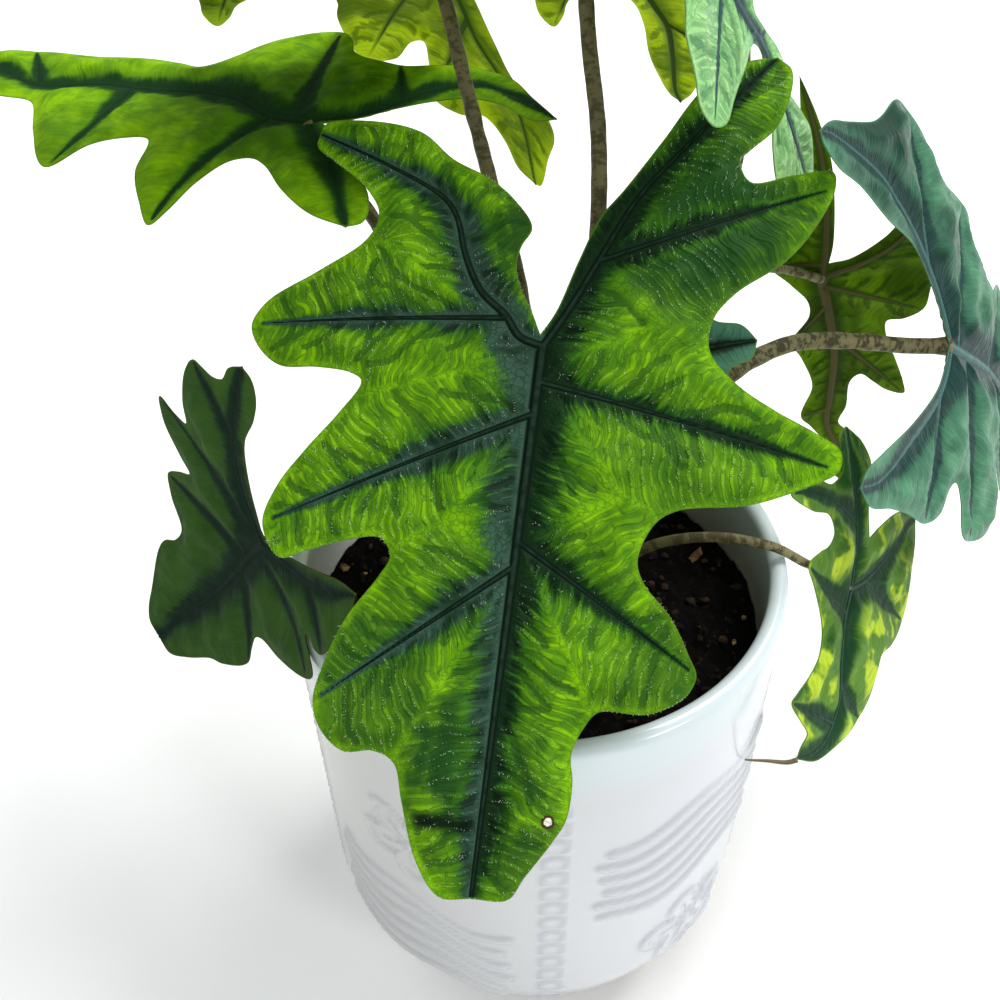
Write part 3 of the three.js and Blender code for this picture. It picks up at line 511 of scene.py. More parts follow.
LOOKS = dict(
    leaf_front=VIVID,
    leaf_left=look(
        lamina=(0.23, 0.46, 0.004), middle=(0.085, 0.23, 0.005), deep=(0.026, 0.09, 0.006),
        band=(0.01, 0.04, 0.01), vein=(0.008, 0.03, 0.009), crest=(0.01, 0.034, 0.01), grid=0.85,
        ridge=0.06, gloss=0.03, roughness=0.6, band_width=0.85, lines=0.3,
        shades=[(0, 5, 42, 0.85), (12, 45, 24, 0.4), (0, -30, 40, 0.6), (-15, 75, 25, 0.4)],
    ),
    # Its dark greens are partly painted shade: this leaf hangs low in shade at the left
    leaf_low=look(
        lamina=(0.034, 0.09, 0.012), middle=(0.024, 0.064, 0.012), deep=(0.013, 0.038, 0.012),
        band=(0.006, 0.019, 0.01), vein=(0.005, 0.015, 0.009), crest=(0.008, 0.02, 0.01),
        rim=(0.05, 0.075, 0.01), grid=0.8, ridge=0.05, gloss=0.025, roughness=0.6, band_width=0.9,
        lines=0.25, quilt=2.0, lift=0.9,
    ),
    leaf_right=look(
        lamina=(0.09, 0.26, 0.145), middle=(0.04, 0.135, 0.08), deep=(0.01, 0.04, 0.026),
        band=(0.008, 0.034, 0.03), vein=(0.03, 0.1, 0.09), crest=(0.05, 0.14, 0.12),
        rim=(0.08, 0.24, 0.12), grid=0.8, roughness=0.34, ridge=0.08, gloss=0.08, band_width=1.2,
        lines=0.28, quilt=3.2,
        shades=[(-47, -62, 38, 0.95), (-28, -10, 18, 0.7), (18, -22, 16, 0.7), (-12, 30, 14, 0.6)],
    ),
    leaf_hanging=look(
        lamina=(0.46, 0.62, 0.04), middle=(0.1, 0.22, 0.03), deep=(0.016, 0.07, 0.014),
        band=(0.012, 0.045, 0.018), vein=(0.008, 0.032, 0.014), crest=(0.03, 0.08, 0.055),
        grid=0.7, blotch=True, ridge=0.06, gloss=0.02, lines=0.3,
        shades=[(25, -28, 32, 1.0), (-42, -34, 18, 0.8), (30, 38, 12, 0.9), (2, 16, 15, 1.0)],
    ),
    leaf_behind=look(
        under=(0.12, 0.24, 0.003), under_deep=(0.014, 0.036, 0.002), under_vein=(0.08, 0.07, 0.028),
        grid=0.85, fine_side="under", gloss=0.03,
    ),
    # This and the next leaf's bright yellow-green undersides are painted light shining through the blade
    leaf_high_left=look(
        under=(0.42, 0.6, 0.004), under_deep=(0.055, 0.12, 0.002), under_vein=(0.03, 0.065, 0.003),
        grid=0.95, fine_side="under", gloss=0.02,
    ),
    leaf_high_right=look(
        under=(0.54, 0.74, 0.006), under_deep=(0.07, 0.15, 0.003), under_vein=(0.03, 0.065, 0.003),
        grid=0.85, fine_side="under", gloss=0.02,
    ),
    # Its pale greens are partly a painted highlight
    leaf_top=look(
        lamina=(0.4, 0.72, 0.28), middle=(0.2, 0.5, 0.17), deep=(0.06, 0.2, 0.08),
        band=(0.02, 0.07, 0.06), vein=(0.012, 0.04, 0.05), crest=(0.03, 0.09, 0.09),
        grid=0.65, roughness=0.34, ridge=0.26, quilt=1.8, band_width=0.4, gloss=0.2,
    ),
    leaf_young=look(
        lamina=(0.07, 0.2, 0.12), middle=(0.05, 0.15, 0.1), deep=(0.035, 0.11, 0.07), grid=0.6,
        lines=0.25, band_width=0.5,
    ),
)


def smooth(points, pieces):
    """A centripetal spline through the points, with that many pieces between each two."""
    knots = np.array(points, float)
    ends = np.vstack([2 * knots[0] - knots[1], knots, 2 * knots[-1] - knots[-2]])
    t = np.linspace(0, 1, pieces, endpoint=False)[:, None]
    parts = []
    for i in range(len(knots) - 1):
        p0, p1, p2, p3 = ends[i : i + 4]
        d0, d1, d2 = (max(np.linalg.norm(b - a), 1e-8) ** 0.5 for a, b in ((p0, p1), (p1, p2), (p2, p3)))
        m1 = ((p1 - p0) / d0 - (p2 - p0) / (d0 + d1) + (p2 - p1) / d1) * d1
        m2 = ((p2 - p1) / d1 - (p3 - p1) / (d1 + d2) + (p3 - p2) / d2) * d1
        parts.append(p1 + m1 * t + (3 * (p2 - p1) - 2 * m1 - m2) * t**2 + (2 * (p1 - p2) + m1 + m2) * t**3)
    return np.vstack([*parts, knots[-1:]])


def reaches(line):
    """How far along the line each of its points lies."""
    return np.concatenate([[0], np.cumsum(np.linalg.norm(np.diff(line, axis=0), axis=1))])


def point_at(line, reach):
    length = reaches(line)
    return np.array([np.interp(reach, length, line[:, k]) for k in range(line.shape[1])])


def even(line, step):
    """The same line with its points evenly spaced."""
    length = reaches(line)
    places = np.linspace(0, length[-1], max(2, round(length[-1] / step) + 1))
    return np.stack([np.interp(places, length, line[:, k]) for k in range(line.shape[1])], 1)


def step_up(value, low, high):
    """From 0 at low to 1 at high, with soft ends."""
    t = np.clip((value - low) / (high - low), 0, 1)
    return t * t * (3 - 2 * t)


def bell(value, width):
    return np.exp(-((value / width) ** 2))


def unit(vector):
    return vector / np.linalg.norm(vector)


def ripple(points, scale, seed):
    """Smooth random heights between about -1 and 1, with bumps about as wide as the scale."""
    random = np.random.default_rng(seed)
    total = np.zeros(len(points))
    for _ in range(9):
        direction = random.normal(size=points.shape[1])
        direction *= random.uniform(0.6, 1.5) / np.linalg.norm(direction) * 2 * math.pi / (scale * 2)
        total += np.sin(points @ direction + random.uniform(0, 2 * math.pi))
    return total / 3


def place_in_scene(name, data):
    made = bpy.data.objects.new(name, data)
    bpy.context.scene.collection.objects.link(made)
    return made


def new_object(name, vertices, faces, materials, material_of=None, smooth_faces=True):
    mesh = bpy.data.meshes.new(name)
    mesh.from_pydata((np.asarray(vertices) * MM).tolist(), [], faces)
    for material in materials:
        mesh.materials.append(material)
    if material_of is not None:
        mesh.polygons.foreach_set("material_index", material_of)
    if smooth_faces:
        mesh.polygons.foreach_set("use_smooth", [True] * len(mesh.polygons))
    mesh.update()
    return place_in_scene(name, mesh)


def give(made, name, values):
    """Keeps one number or place for each vertex, for the materials to read."""
    values = np.asarray(values, np.float32)
    kind, field = ("FLOAT", "value") if values.ndim == 1 else ("FLOAT_VECTOR", "vector")
    made.data.attributes.new(name, kind, "POINT").data.foreach_set(field, values.ravel())


def sharpen(made, rings):
    """Keeps the edges along these rings of vertices crisp."""
    count = len(made.data.edges)
    ends = np.zeros(count * 2, np.int32)
    made.data.edges.foreach_get("vertices", ends)
    ends = ends.reshape(-1, 2)
    sharp = np.zeros(count, bool)
    for first, size in rings:
        inside = ((ends >= first) & (ends < first + size)).all(1)
        apart = np.abs(ends[:, 0] - ends[:, 1])
        sharp |= inside & ((apart == 1) | (apart == size - 1))
    attribute = made.data.attributes.new("sharp_edge", "BOOLEAN", "EDGE")
    attribute.data.foreach_set("value", sharp)


# Leaf axes: across the blade, along it, and out of its top
def leaf_axes(leaf):
    heading, pitch, roll = (math.radians(leaf[key]) for key in ("heading", "pitch", "roll"))
    flat = math.cos(pitch)
    along = np.array([math.cos(heading) * flat, math.sin(heading) * flat, math.sin(pitch)])
    upright = unit(np.array([0, 0, 1]) - along * along[2])
    level = np.cross(along, upright)
    out = upright * math.cos(roll) + level * math.sin(roll)
    return np.cross(along, out), along, out


# The closed outline of a blade: left half from apex to sinus, then the right half back to the apex
def outline_of(leaf):
    halves = []
    for side in (leaf["left"], leaf["right"]):
        tip = side["rib"][-1]
        outer = smooth([leaf["midrib"][-1], *(point[:2] for point in side["outer"]), tip], MARGIN_PIECES)
        inner = smooth([tip, *side["inner"], leaf["sinus"]], MARGIN_PIECES)
        halves.append(np.vstack([outer, inner[1:]]))
    return np.vstack([halves[0], halves[1][::-1][1:-1]])


def clean_outline(outline):
    """The outline without points that lie almost on their neighbour, and running counterclockwise."""
    outline = outline[np.hypot(*(outline - np.roll(outline, 1, 0)).T) > MARGIN_GAP]
    following = np.roll(outline, -1, 0)
    area = (outline[:, 0] * following[:, 1] - following[:, 0] * outline[:, 1]).sum()
    return outline if area > 0 else outline[::-1]


def vein_line(start, tip, bow):
    """A vein from the ribs to a lobe's tip, bowed towards the apex."""
    sideways = unit(np.array([start[1] - tip[1], tip[0] - start[0]]))
    towards_apex = -1 if sideways[1] < 0 else 1
    pull = (start + tip) / 2 + sideways * 2 * towards_apex * bow
    t = np.linspace(0, 1, VEIN_POINTS)[:, None]
    return start * (1 - t) ** 2 + pull * 2 * t * (1 - t) + tip * t**2


# Every main vein of a leaf: its line, followed by its sizes. An outer point with a third number has a vein,
# which leaves the midrib that far from the hub, or the rib if the number is below 0. A fourth is its bow.
def veins_of(leaf):
    midrib = smooth([HUB, *leaf["midrib"]], MIDRIB_PIECES)
    veins = [(midrib, *MIDRIB_SIZES)]
    for side in (leaf["left"], leaf["right"]):
        rib = smooth([HUB, *side["rib"]], RIB_PIECES)
        veins.append((rib, *RIB_SIZES))
        for x, y, *root in side["outer"]:
            if root:
                start = point_at(midrib if root[0] > 0 else rib, abs(root[0]))
                line = vein_line(start, np.array([x, y], float), root[1] if len(root) > 1 else 0)
                veins.append((line[:-1], *LOBE_VEIN_SIZES))
    return veins


# Small creases leave the main veins on both sides and wander towards the tip. Each keeps its vein's number.
def creases_of(veins):
    random = np.random.default_rng(CREASE_SEED)
    places, owners = [], []
    for number, (line, *_) in enumerate(veins):
        for reach in np.arange(CREASE_END, reaches(line)[-1] - CREASE_END, CREASE_SPACING):
            for side in (1, -1):
                place = point_at(line, reach + random.uniform(-2, 2))
                ahead = point_at(line, reach + 3) - place
                turn = side * math.radians(random.uniform(*CREASE_ANGLES))
                bearing = math.atan2(ahead[1], ahead[0]) + turn
                for _ in range(int(random.uniform(*CREASE_LENGTHS) / CREASE_STEP)):
                    bearing += random.normal() * 0.09 - side * 0.006
                    place = place + CREASE_STEP * np.array([math.cos(bearing), math.sin(bearing)])
                    places.append(place)
                    owners.append(number)
    return places, owners


def crease_gaps(veins, points, nearest):
    """Distance to the nearest small crease that belongs to the same vein."""
    places, owners = creases_of(veins)
    tree = kdtree.KDTree(len(places))
    for index, place in enumerate(places):
        tree.insert((*place, 0), index)
    tree.balance()
    gaps = np.full(len(points), CREASE_FAR)
    for index, point in enumerate(points):
        _, found, gap = tree.find((*point, 0))
        if owners[found] == nearest[index]:
            gaps[index] = min(gap, CREASE_FAR)
    return gaps


def nearest_on(line, points):
    """Distance to a line of straight pieces, and how far along it the nearest place lies."""
    length = reaches(line)
    best = np.full(len(points), FAR_AWAY)
    run = np.zeros(len(points))
    for i in range(len(line) - 1):
        a, ab = line[i], line[i + 1] - line[i]
        t = np.clip((points - a) @ ab / max(ab @ ab, 1e-9), 0, 1)
        gap = np.hypot(*(points - a - t[:, None] * ab).T)
        closer = gap < best
        best = np.where(closer, gap, best)
        run = np.where(closer, length[i] + t * (length[i + 1] - length[i]), run)
    return best, run


def rim_gap(outline, points):
    return nearest_on(np.vstack([outline, outline[:1]]), points)[0]


# What each place on a blade knows: its gaps to the nearest vein, crease and rim, how far along the vein it
# lies, the vein's half width, its share of the dark band's reach, and a mask for where fine ridges may stand
def survey(leaf, points, outline):
    gap, second, reach = (np.full(len(points), FAR_AWAY) for _ in range(3))
    run, width, nearest = (np.zeros(len(points)) for _ in range(3))
    veins = veins_of(leaf)
    for number, (line, width0, width1, band0, band1) in enumerate(veins):
        line_gap, line_run = nearest_on(line, points)
        share = line_run / reaches(line)[-1]
        closer = line_gap < gap
        second = np.where(closer, gap, np.minimum(second, line_gap))
        gap = np.where(closer, line_gap, gap)
        nearest = np.where(closer, number, nearest)
        run = np.where(closer, line_run + number * VEIN_RUN_STEP, run)
        width = np.where(closer, width0 + (width1 - width0) * share, width)
        reach = np.minimum(reach, line_gap / (band0 + (band1 - band0) * share))
    rim = rim_gap(outline, points)
    run = run - 0.35 * gap + 0.9 * ripple(points, 9, 5) + 0.35 * ripple(points, 4, 6)
    mask = step_up(second - gap, 0.4, 2.2) * step_up(gap, width * 1.1, width * 1.1 + 1.6)
    mask *= step_up(rim, 0.2, 2)
    crease = crease_gaps(veins, points, nearest)
    return dict(gap=gap, run=run, width=width, reach=reach, rim=rim, mask=mask, crease=crease)


# How far the blade bends out of its plane: cupped across, drooping along, and waved towards its margin
def blade_lift(leaf, points, gap):
    across, along = points.T
    cup = np.where(across > 0, leaf["cup"][0], leaf["cup"][1])
    back = np.where(across > 0, leaf["back"][0], leaf["back"][1])
    bend = np.where(along > 0, leaf["droop"], back)
    reach = np.minimum(gap, WAVE_REACH_MOST) / WAVE_REACH
    wave = leaf["wave"] * reach**2 * np.sin(across / WAVE_ACROSS) * np.cos(along / WAVE_ALONG)
    return wave - (cup * across**2 + bend * along**2) / 100


# Relief of a blade: quilted between the veins, with small creases and fine ridges that leave the veins side
# by side. On the top a vein is a low crest between two grooves, on the underside it stands out as a rib.
def relief_of(points, facts, style, under):
    gap, rim, width = facts["gap"], facts["rim"], facts["width"]
    inside = step_up(rim, 0, 6)
    quilt = style["quilt"] * (1 - bell(gap, QUILT_WIDTH)) * (0.25 + 0.75 * inside)
    swell = SWELL * ripple(points, 7, 11) * step_up(gap, 1, 6) * inside
    turn = 2 * math.pi * facts["run"] / style["ridge_step"]
    ridges = style["ridge"] * (np.cos(turn) + 0.4 * np.cos(2 * turn)) * facts["mask"]
    ridges *= 0.65 + 0.35 * ripple(points, 12, 3)
    crease = -CREASE_DEPTH * style["lines"] * bell(facts["crease"], CREASE_WIDTH) * facts["mask"]
    if under:
        rib = RIB_HEIGHT * width * bell(gap, width * 1.05)
        return quilt + swell + 0.7 * ridges + crease - rib + style["lift"]
    groove = -GROOVE_DEPTH * width * bell(gap - width, 0.35 * width + 0.1)
    crest = CREST_HEIGHT * width * bell(gap, width * 0.6)
    return quilt + swell + ridges + crease + groove + crest + style["lift"]


def grid_inside(outline, step):
    """Evenly spaced points inside an outline, a little away from it."""
    low, high = outline.min(0), outline.max(0)
    rows = np.arange(low[1], high[1], step * 0.866)
    columns = np.arange(low[0], high[0], step)
    places = np.vstack([
        np.stack([columns + (step / 2) * (k % 2), np.full(len(columns), y)], 1) for k, y in enumerate(rows)
    ])
    inside = np.zeros(len(places), bool)
    for a, b in zip(outline, np.roll(outline, -1, 0)):
        if a[1] == b[1]:
            continue
        crosses = (a[1] > places[:, 1]) != (b[1] > places[:, 1])
        inside ^= crosses & (places[:, 0] < (b[0] - a[0]) * (places[:, 1] - a[1]) / (b[1] - a[1]) + a[0])
    places = places[inside]
    return places[rim_gap(outline, places) > step * 0.45]


def sheet(outline, step):
    """Triangles over an outline: the outline's own points come first."""
    points = np.vstack([outline, grid_inside(outline, step)])
    _, _, faces, origins, _, _ = geometry.delaunay_2d_cdt(
        [Vector(p) for p in points], [], [list(range(len(outline)))], 1, 1e-5)
    origin = [o[0] for o in origins]
    return points, [[origin[i] for i in face] for face in faces]


# Blade: a top and an underside over the same outline, joined by a thin rim
def blade(leaf, style, materials):
    outline = clean_outline(outline_of(leaf))
    count = len(outline)
    across, along, out = leaf_axes(leaf)
    hub = np.array(leaf["hub"], float)
    vertices, faces, indices, facts_of, places = [], [], [], [], []
    total = 0
    for under in (False, True):
        fine = (style["fine_side"] == "under") == under
        points, triangles = sheet(outline, style["grid"] if fine else COARSE_GRID)
        facts = survey(leaf, points, outline)
        height = blade_lift(leaf, points, facts["gap"]) + relief_of(points, facts, style, under)
        height -= style["quilt"] * QUILT_BELOW
        if under:
            height -= RIM_THICKNESS + (BLADE_THICKNESS - RIM_THICKNESS) * step_up(facts["rim"], 0, 3)
            triangles = [face[::-1] for face in triangles]
        vertices.append(hub + points[:, :1] * across + points[:, 1:] * along + height[:, None] * out)
        faces.extend([[i + total for i in face] for face in triangles])
        indices.extend([int(under)] * len(triangles))
        facts_of.append(facts)
        places.append(np.column_stack([points, np.full(len(points), UNDERSIDE_PLACE * under)]))
        total += len(points)
    below = len(places[0])
    for i in range(count):
        j = (i + 1) % count
        faces.append([i, below + i, below + j, j])
    indices.extend([0] * count)
    made = new_object(f"{leaf['name']}_lamina", np.vstack(vertices), faces, materials, indices)
    for key in facts_of[0]:
        give(made, f"vein_{key}", np.concatenate([facts[key] for facts in facts_of]))
    give(made, "place", np.vstack(places))
    sharpen(made, [(0, count), (below, count)])
    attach(made, "root")
    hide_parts(f"{leaf['name']}_blade")
    return vertices[0], facts_of[0], places[0], out


# Hairs: tiny pointed bristles that stand in rows on the crests of the fine ridges and along the rim
def hairs(leaf, style, tops, facts, places, out, material):
    random = np.random.default_rng(HAIR_SEED)
    wave = np.cos(2 * math.pi * facts["run"] / style["ridge_step"])
    patch = ripple(places[:, :2], HAIR_PATCH, 8)
    on_ridge = (wave > 0.8) & (facts["mask"] > 0.25) & (patch > -0.25)
    on_rim = (facts["rim"] < 0.3) & (patch > -0.1)
    ridge = random.choice(np.flatnonzero(on_ridge), RIDGE_HAIRS, replace=False)
    rim = random.choice(np.flatnonzero(on_rim), min(RIM_HAIRS, on_rim.sum()), replace=False)
    vertices, faces = [], []
    for index in [*ridge, *rim]:
        foot = tops[index]
        lean = random.normal(size=3) * HAIR_LEAN
        tip = foot + (out + lean) * random.uniform(*HAIR_LENGTHS)
        first = unit(np.cross(out, lean))
        second = np.cross(out, first)
        radius = random.uniform(*HAIR_RADII)
        start = len(vertices)
        for k in range(3):
            angle = 2 * math.pi * k / 3
            side = radius * (math.cos(angle) * first + math.sin(angle) * second)
            vertices.append(foot - out * HAIR_ROOT + side)
        vertices.append(tip)
        sides = [[start + k, start + (k + 1) % 3, start + 3] for k in range(3)]
        faces += [*sides, [start + 2, start + 1, start]]
    made = new_object(f"{leaf['name']}_hairs", np.array(vertices), faces, [material])
    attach(made, "root")


def band_faces(rows, columns):
    """Quads between rings of vertices that follow each other."""
    faces = []
    for low in range(0, (rows - 1) * columns, columns):
        for column in range(columns):
            following = (column + 1) % columns
            faces.append([low + column, low + following, low + columns + following, low + columns + column])
    return faces


# Tube round a line: rings of a given radius, closed at both ends
def tube(name, line, radius, sides, materials):
    direction = np.gradient(line, axis=0)
    direction /= np.linalg.norm(direction, axis=1)[:, None]
    side = np.array([1.0, 0, 0])
    vertices, places = [], []
    run = reaches(line)
    for i, middle in enumerate(line):
        side = unit(side - direction[i] * (side @ direction[i]))
        up = np.cross(direction[i], side)
        for k in range(sides):
            angle = 2 * math.pi * k / sides
            vertices.append(middle + (side * math.cos(angle) + up * math.sin(angle)) * radius[i])
            places.append([math.cos(angle) * radius[i], math.sin(angle) * radius[i], run[i]])
    ring = list(range(sides))
    last = (len(line) - 1) * sides
    faces = [*band_faces(len(line), sides), ring[::-1], [last + k for k in ring]]
    made = new_object(name, np.array(vertices), faces, materials)
    give(made, "place", places)
    return made


def petiole(leaf, material, seed):
    _, _, out = leaf_axes(leaf)
    top = np.array(leaf["hub"], float) - out * PETIOLE_BELOW
    foot = (*leaf["petiole"][0], PETIOLE_FOOT_HEIGHT)
    line = even(smooth([foot, *leaf["petiole"][1:], top], PETIOLE_PIECES), PETIOLE_ROW)
    share = reaches(line) / reaches(line)[-1]
    low, high = leaf["petiole_radius"]
    radius = low + (high - low) * share
    radius *= 1 + PETIOLE_KNOBBLE * ripple(reaches(line)[:, None], 5, seed)
    radius *= 1 + PETIOLE_FLARE * step_up(share, 0.96, 1)
    made = tube(f"{leaf['name']}_stalk", line, radius, PETIOLE_SIDES, [material])
    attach(made, "root")
    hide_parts(f"{leaf['name']}_petiole")


# Drip tip of the hanging leaf: a thin dry thread that curls out to the side and ends at the pot
def drip_tip(leaf, material):
    across, along, out = leaf_axes(leaf)
    apex = np.array(leaf["midrib"][-1], float)
    lift = blade_lift(leaf, apex[None], np.zeros(1))[0]
    root = np.array(leaf["hub"], float) + apex[0] * across + apex[1] * along + (lift - DRIP_BELOW) * out
    line = even(smooth([root + offset for offset in DRIP_TIP], DRIP_PIECES), DRIP_ROW)
    radius = DRIP_RADIUS - DRIP_TAPER * (reaches(line) / reaches(line)[-1])
    made = tube(f"{leaf['name']}_drip_tip", line, radius, DRIP_SIDES, [material])
    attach(made, "root")


def blossom(x, y, turn):
    """An open blossom: five rounded petals, a crease in each, and a ring of short threads round its heart."""
    distance = np.hypot(x, y)
    bearing = np.arctan2(y, x) + turn
    petal = PETAL_REACH * (0.5 + 0.5 * np.abs(np.cos(2.5 * bearing)) ** 0.7)
    crease = 0.6 * bell(np.sin(2.5 * bearing) * distance, 1.4)
    crease *= step_up(distance, 4.5, 6) * (1 - step_up(distance, 9, 12))
    threads = 0.7 * np.clip(np.cos(10 * bearing), 0, 1) ** 2 * bell(distance - THREAD_REACH, 1.3)
    return bell(distance - petal, RIDGE_HALF) + crease + threads + bell(distance, BLOSSOM_HEART)


def waves(x, y, rise):
    """A group of side-by-side wavy ridges with rounded ends."""
    height = np.zeros_like(x)
    for number in range(WAVES_IN_GROUP):
        middle = (number - (WAVES_IN_GROUP - 1) / 2) * WAVE_PITCH
        line = middle + rise * x + WAVE_BEND * np.sin(x / 7 + 0.35 * number)
        ends = 1 - step_up(np.abs(x + 1.5 * np.sin(2.1 * number)), WAVE_HALF - 4, WAVE_HALF)
        height = np.maximum(height, ends * bell(y - line, RIDGE_HALF))
    return height


def scallops(x, y):
    """A standing row of small open arches."""
    step = (y / SCALLOP_PITCH + 0.5) % 1 - 0.5
    distance = np.hypot(x, step * SCALLOP_PITCH + 1.5)
    return bell(distance - SCALLOP_REACH, 1.3) * (1 - step_up(np.abs(x), SCALLOP_REACH, 5))


# Relief of the pot: blossoms between groups of wavy ridges, parted by standing rows of arches
def pot_relief(angle, reach):
    """Height in millimetres at an angle round the pot and a reach up its side."""
    whole = 2 * math.pi * POT_RADIUS
    height = np.zeros_like(angle)
    for panel in range(POT_PANELS):
        centre = (panel + PANEL_START) / POT_PANELS * whole
        x = (angle * POT_RADIUS - centre + whole / 2) % whole - whole / 2
        blossom_level, wave_level, rise = (72, 122, 0.12) if panel % 2 == 0 else (128, 78, -0.16)
        height += blossom(x - 3, reach - blossom_level, 0.5 * panel)
        height = np.maximum(height, waves(x, reach - wave_level, rise))
        edge = (x + whole / POT_PANELS / 2 + whole / 2) % whole - whole / 2
        height = np.maximum(height, SCALLOP_SHARE * scallops(edge, reach))
    return RELIEF * height * (step_up(reach, *RELIEF_FROM) * (1 - step_up(reach, *RELIEF_TO)))


def arc(centre, radius, start, end, step):
    count = max(3, round(abs(math.radians(end - start)) * radius / step))
    angles = np.radians(np.linspace(start, end, count + 1))
    return np.stack([centre[0] + radius * np.cos(angles), centre[1] + radius * np.sin(angles)], 1)


def wall(radius, low, high, step):
    return even(np.array([[radius, low], [radius, high]]), step)


def ring_angles(columns):
    return np.linspace(0, 2 * math.pi, columns, endpoint=False)


# Turned solid: a ring of vertices for each row of radius and level, closed by a middle point at both ends
def turned(name, radius, level, ends, material):
    rows, columns = radius.shape
    angle = ring_angles(columns)
    rings = np.stack([radius * np.cos(angle), radius * np.sin(angle), level], 2).reshape(-1, 3)
    faces = band_faces(rows, columns)
    last = (rows - 1) * columns
    for column in range(columns):
        following = (column + 1) % columns
        faces.append([rows * columns, following, column])
        faces.append([rows * columns + 1, last + column, last + following])
    vertices = np.vstack([rings, [[0, 0, end] for end in ends]])
    return new_object(name, vertices, faces, [material])


# Pot: a rounded foot, a straight side with relief, a round lip and a plain inside
def pot(material):
    base = POT_RADIUS - POT_FOOT_RADIUS
    lip = POT_WALL / 2
    inner_base = base - POT_WALL
    outer = np.vstack([
        arc((POT_FOOT_RADIUS, base), base, -90, -45, POT_FOOT_ROW),
        arc((POT_FOOT_RADIUS, base), base, -45, 0, POT_ROW)[1:],
        wall(POT_RADIUS, base, POT_HEIGHT - lip, POT_ROW)[1:],
    ])
    profile = np.vstack([
        outer,
        arc((POT_RADIUS - lip, POT_HEIGHT - lip), lip, 0, 180, POT_LIP_ROW)[1:],
        wall(POT_RADIUS - POT_WALL, POT_HEIGHT - lip, POT_FLOOR + inner_base, POT_INSIDE_ROW)[1:],
        arc((POT_FOOT_RADIUS, POT_FLOOR + inner_base), inner_base, 0, -90, POT_INSIDE_ROW)[1:],
    ])
    step = np.gradient(profile, axis=0)
    normal = np.stack([step[:, 1], -step[:, 0]], 1)
    normal /= np.linalg.norm(normal, axis=1)[:, None]
    angle, reach = np.meshgrid(ring_angles(POT_COLUMNS), reaches(profile))
    height = pot_relief(angle, reach) * (np.arange(len(profile)) < len(outer))[:, None]
    radius, level = (profile[:, k : k + 1] + normal[:, k : k + 1] * height for k in (0, 1))
    made = turned("glazed_pot", radius, level, (0, POT_FLOOR), material)
    # Painted shade at the foot of each ridge of the relief, kept for the glaze to read
    share = (height / RELIEF).ravel()
    foot_shade = step_up(share, 0, 0.2) * (1 - step_up(share, 0.3, 0.8))
    give(made, "relief_foot_shade", np.append(foot_shade, [0, 0]))
    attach(made, "root")
    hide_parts("pot")


# Soil: a crumbly dark top with a slight crown, on a plain body that fills the pot
def soil(material):
    foot = POT_FLOOR + SOIL_GAP
    inside = POT_RADIUS - POT_FOOT_RADIUS - POT_WALL - SOIL_GAP
    side = np.vstack([
        arc((POT_FOOT_RADIUS, foot + inside), inside, -90, 0, SOIL_FOOT_ROW),
        wall(SOIL_RADIUS, foot + inside, SOIL_HEIGHT - 1, SOIL_SIDE_ROW)[1:],
    ])
    share = np.linspace(1, 0.012, SOIL_RINGS)
    top = np.stack([SOIL_RADIUS * share, SOIL_HEIGHT + SOIL_CROWN * (1 - share**2)], 1)
    profile = np.vstack([side, top])
    radius, angle = np.meshgrid(profile[:, 0], ring_angles(SOIL_COLUMNS), indexing="ij")
    flat = np.stack([(radius * np.cos(angle)).ravel(), (radius * np.sin(angle)).ravel()], 1)
    rough = sum(size * ripple(flat, width, seed) for size, width, seed in SOIL_BUMPS) - SOIL_SUNK
    is_top = np.arange(len(profile)) >= len(side)
    level = profile[:, 1:] + rough.reshape(radius.shape) * is_top[:, None]
    made = turned("potting_mix", radius, level, (foot, SOIL_HEIGHT + SOIL_CROWN), material)
    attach(made, "root")
    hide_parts("soil")


def icosahedron():
    """Corners and outward triangles of a regular solid with 20 sides, its corners 1 from its middle."""
    golden = (1 + 5**0.5) / 2
    corners = np.array([[s1, s2 * golden, 0] for s1 in (-1, 1) for s2 in (-1, 1)])
    corners = np.vstack([corners, corners[:, [2, 0, 1]], corners[:, [1, 2, 0]]]) / math.hypot(1, golden)
    triangles = []
    for face in itertools.combinations(range(12), 3):
        a, b, c = corners[list(face)]
        if max(np.linalg.norm(a - b), np.linalg.norm(b - c), np.linalg.norm(a - c)) < 1.1:
            outward = np.cross(b - a, c - a) @ a > 0
            triangles.append(face if outward else face[::-1])
    return corners, triangles


# Crumbs: loose knobbly bits on the soil, with a few larger pale chips among them
def crumbs(materials):
    random = np.random.default_rng(CRUMB_SEED)
    corners, triangles = icosahedron()
    vertices, faces, indices = [], [], []
    for number in range(CRUMBS):
        reach = (SOIL_RADIUS - CRUMB_INSET) * math.sqrt(random.uniform(0, 1))
        turn = random.uniform(0, 2 * math.pi)
        pale = number % CHIP_EVERY == 0
        size = random.uniform(*CRUMB_SIZES) * (CHIP_SCALE if pale else 1)
        stretch = np.array([random.uniform(*span) for span in (CHIP_SPANS if pale else CRUMB_SPANS)])
        height = SOIL_HEIGHT + SOIL_CROWN * (1 - (reach / SOIL_RADIUS) ** 2) + size * 0.1
        knobbly = corners * size * stretch * random.uniform(0.75, 1.2, (12, 1))
        spin = random.uniform(0, 2 * math.pi)
        tilted = [[math.cos(spin), math.sin(spin), 0], [-math.sin(spin), math.cos(spin), 0], [0, 0.3, 1]]
        start = len(vertices)
        place = [reach * math.cos(turn), reach * math.sin(turn), height]
        vertices.extend(knobbly @ np.array(tilted) + place)
        faces.extend([[start + i for i in face] for face in triangles])
        indices.extend([int(pale)] * len(triangles))
    made = new_object("soil_crumbs", np.array(vertices), faces, materials, indices, smooth_faces=False)
    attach(made, "root")


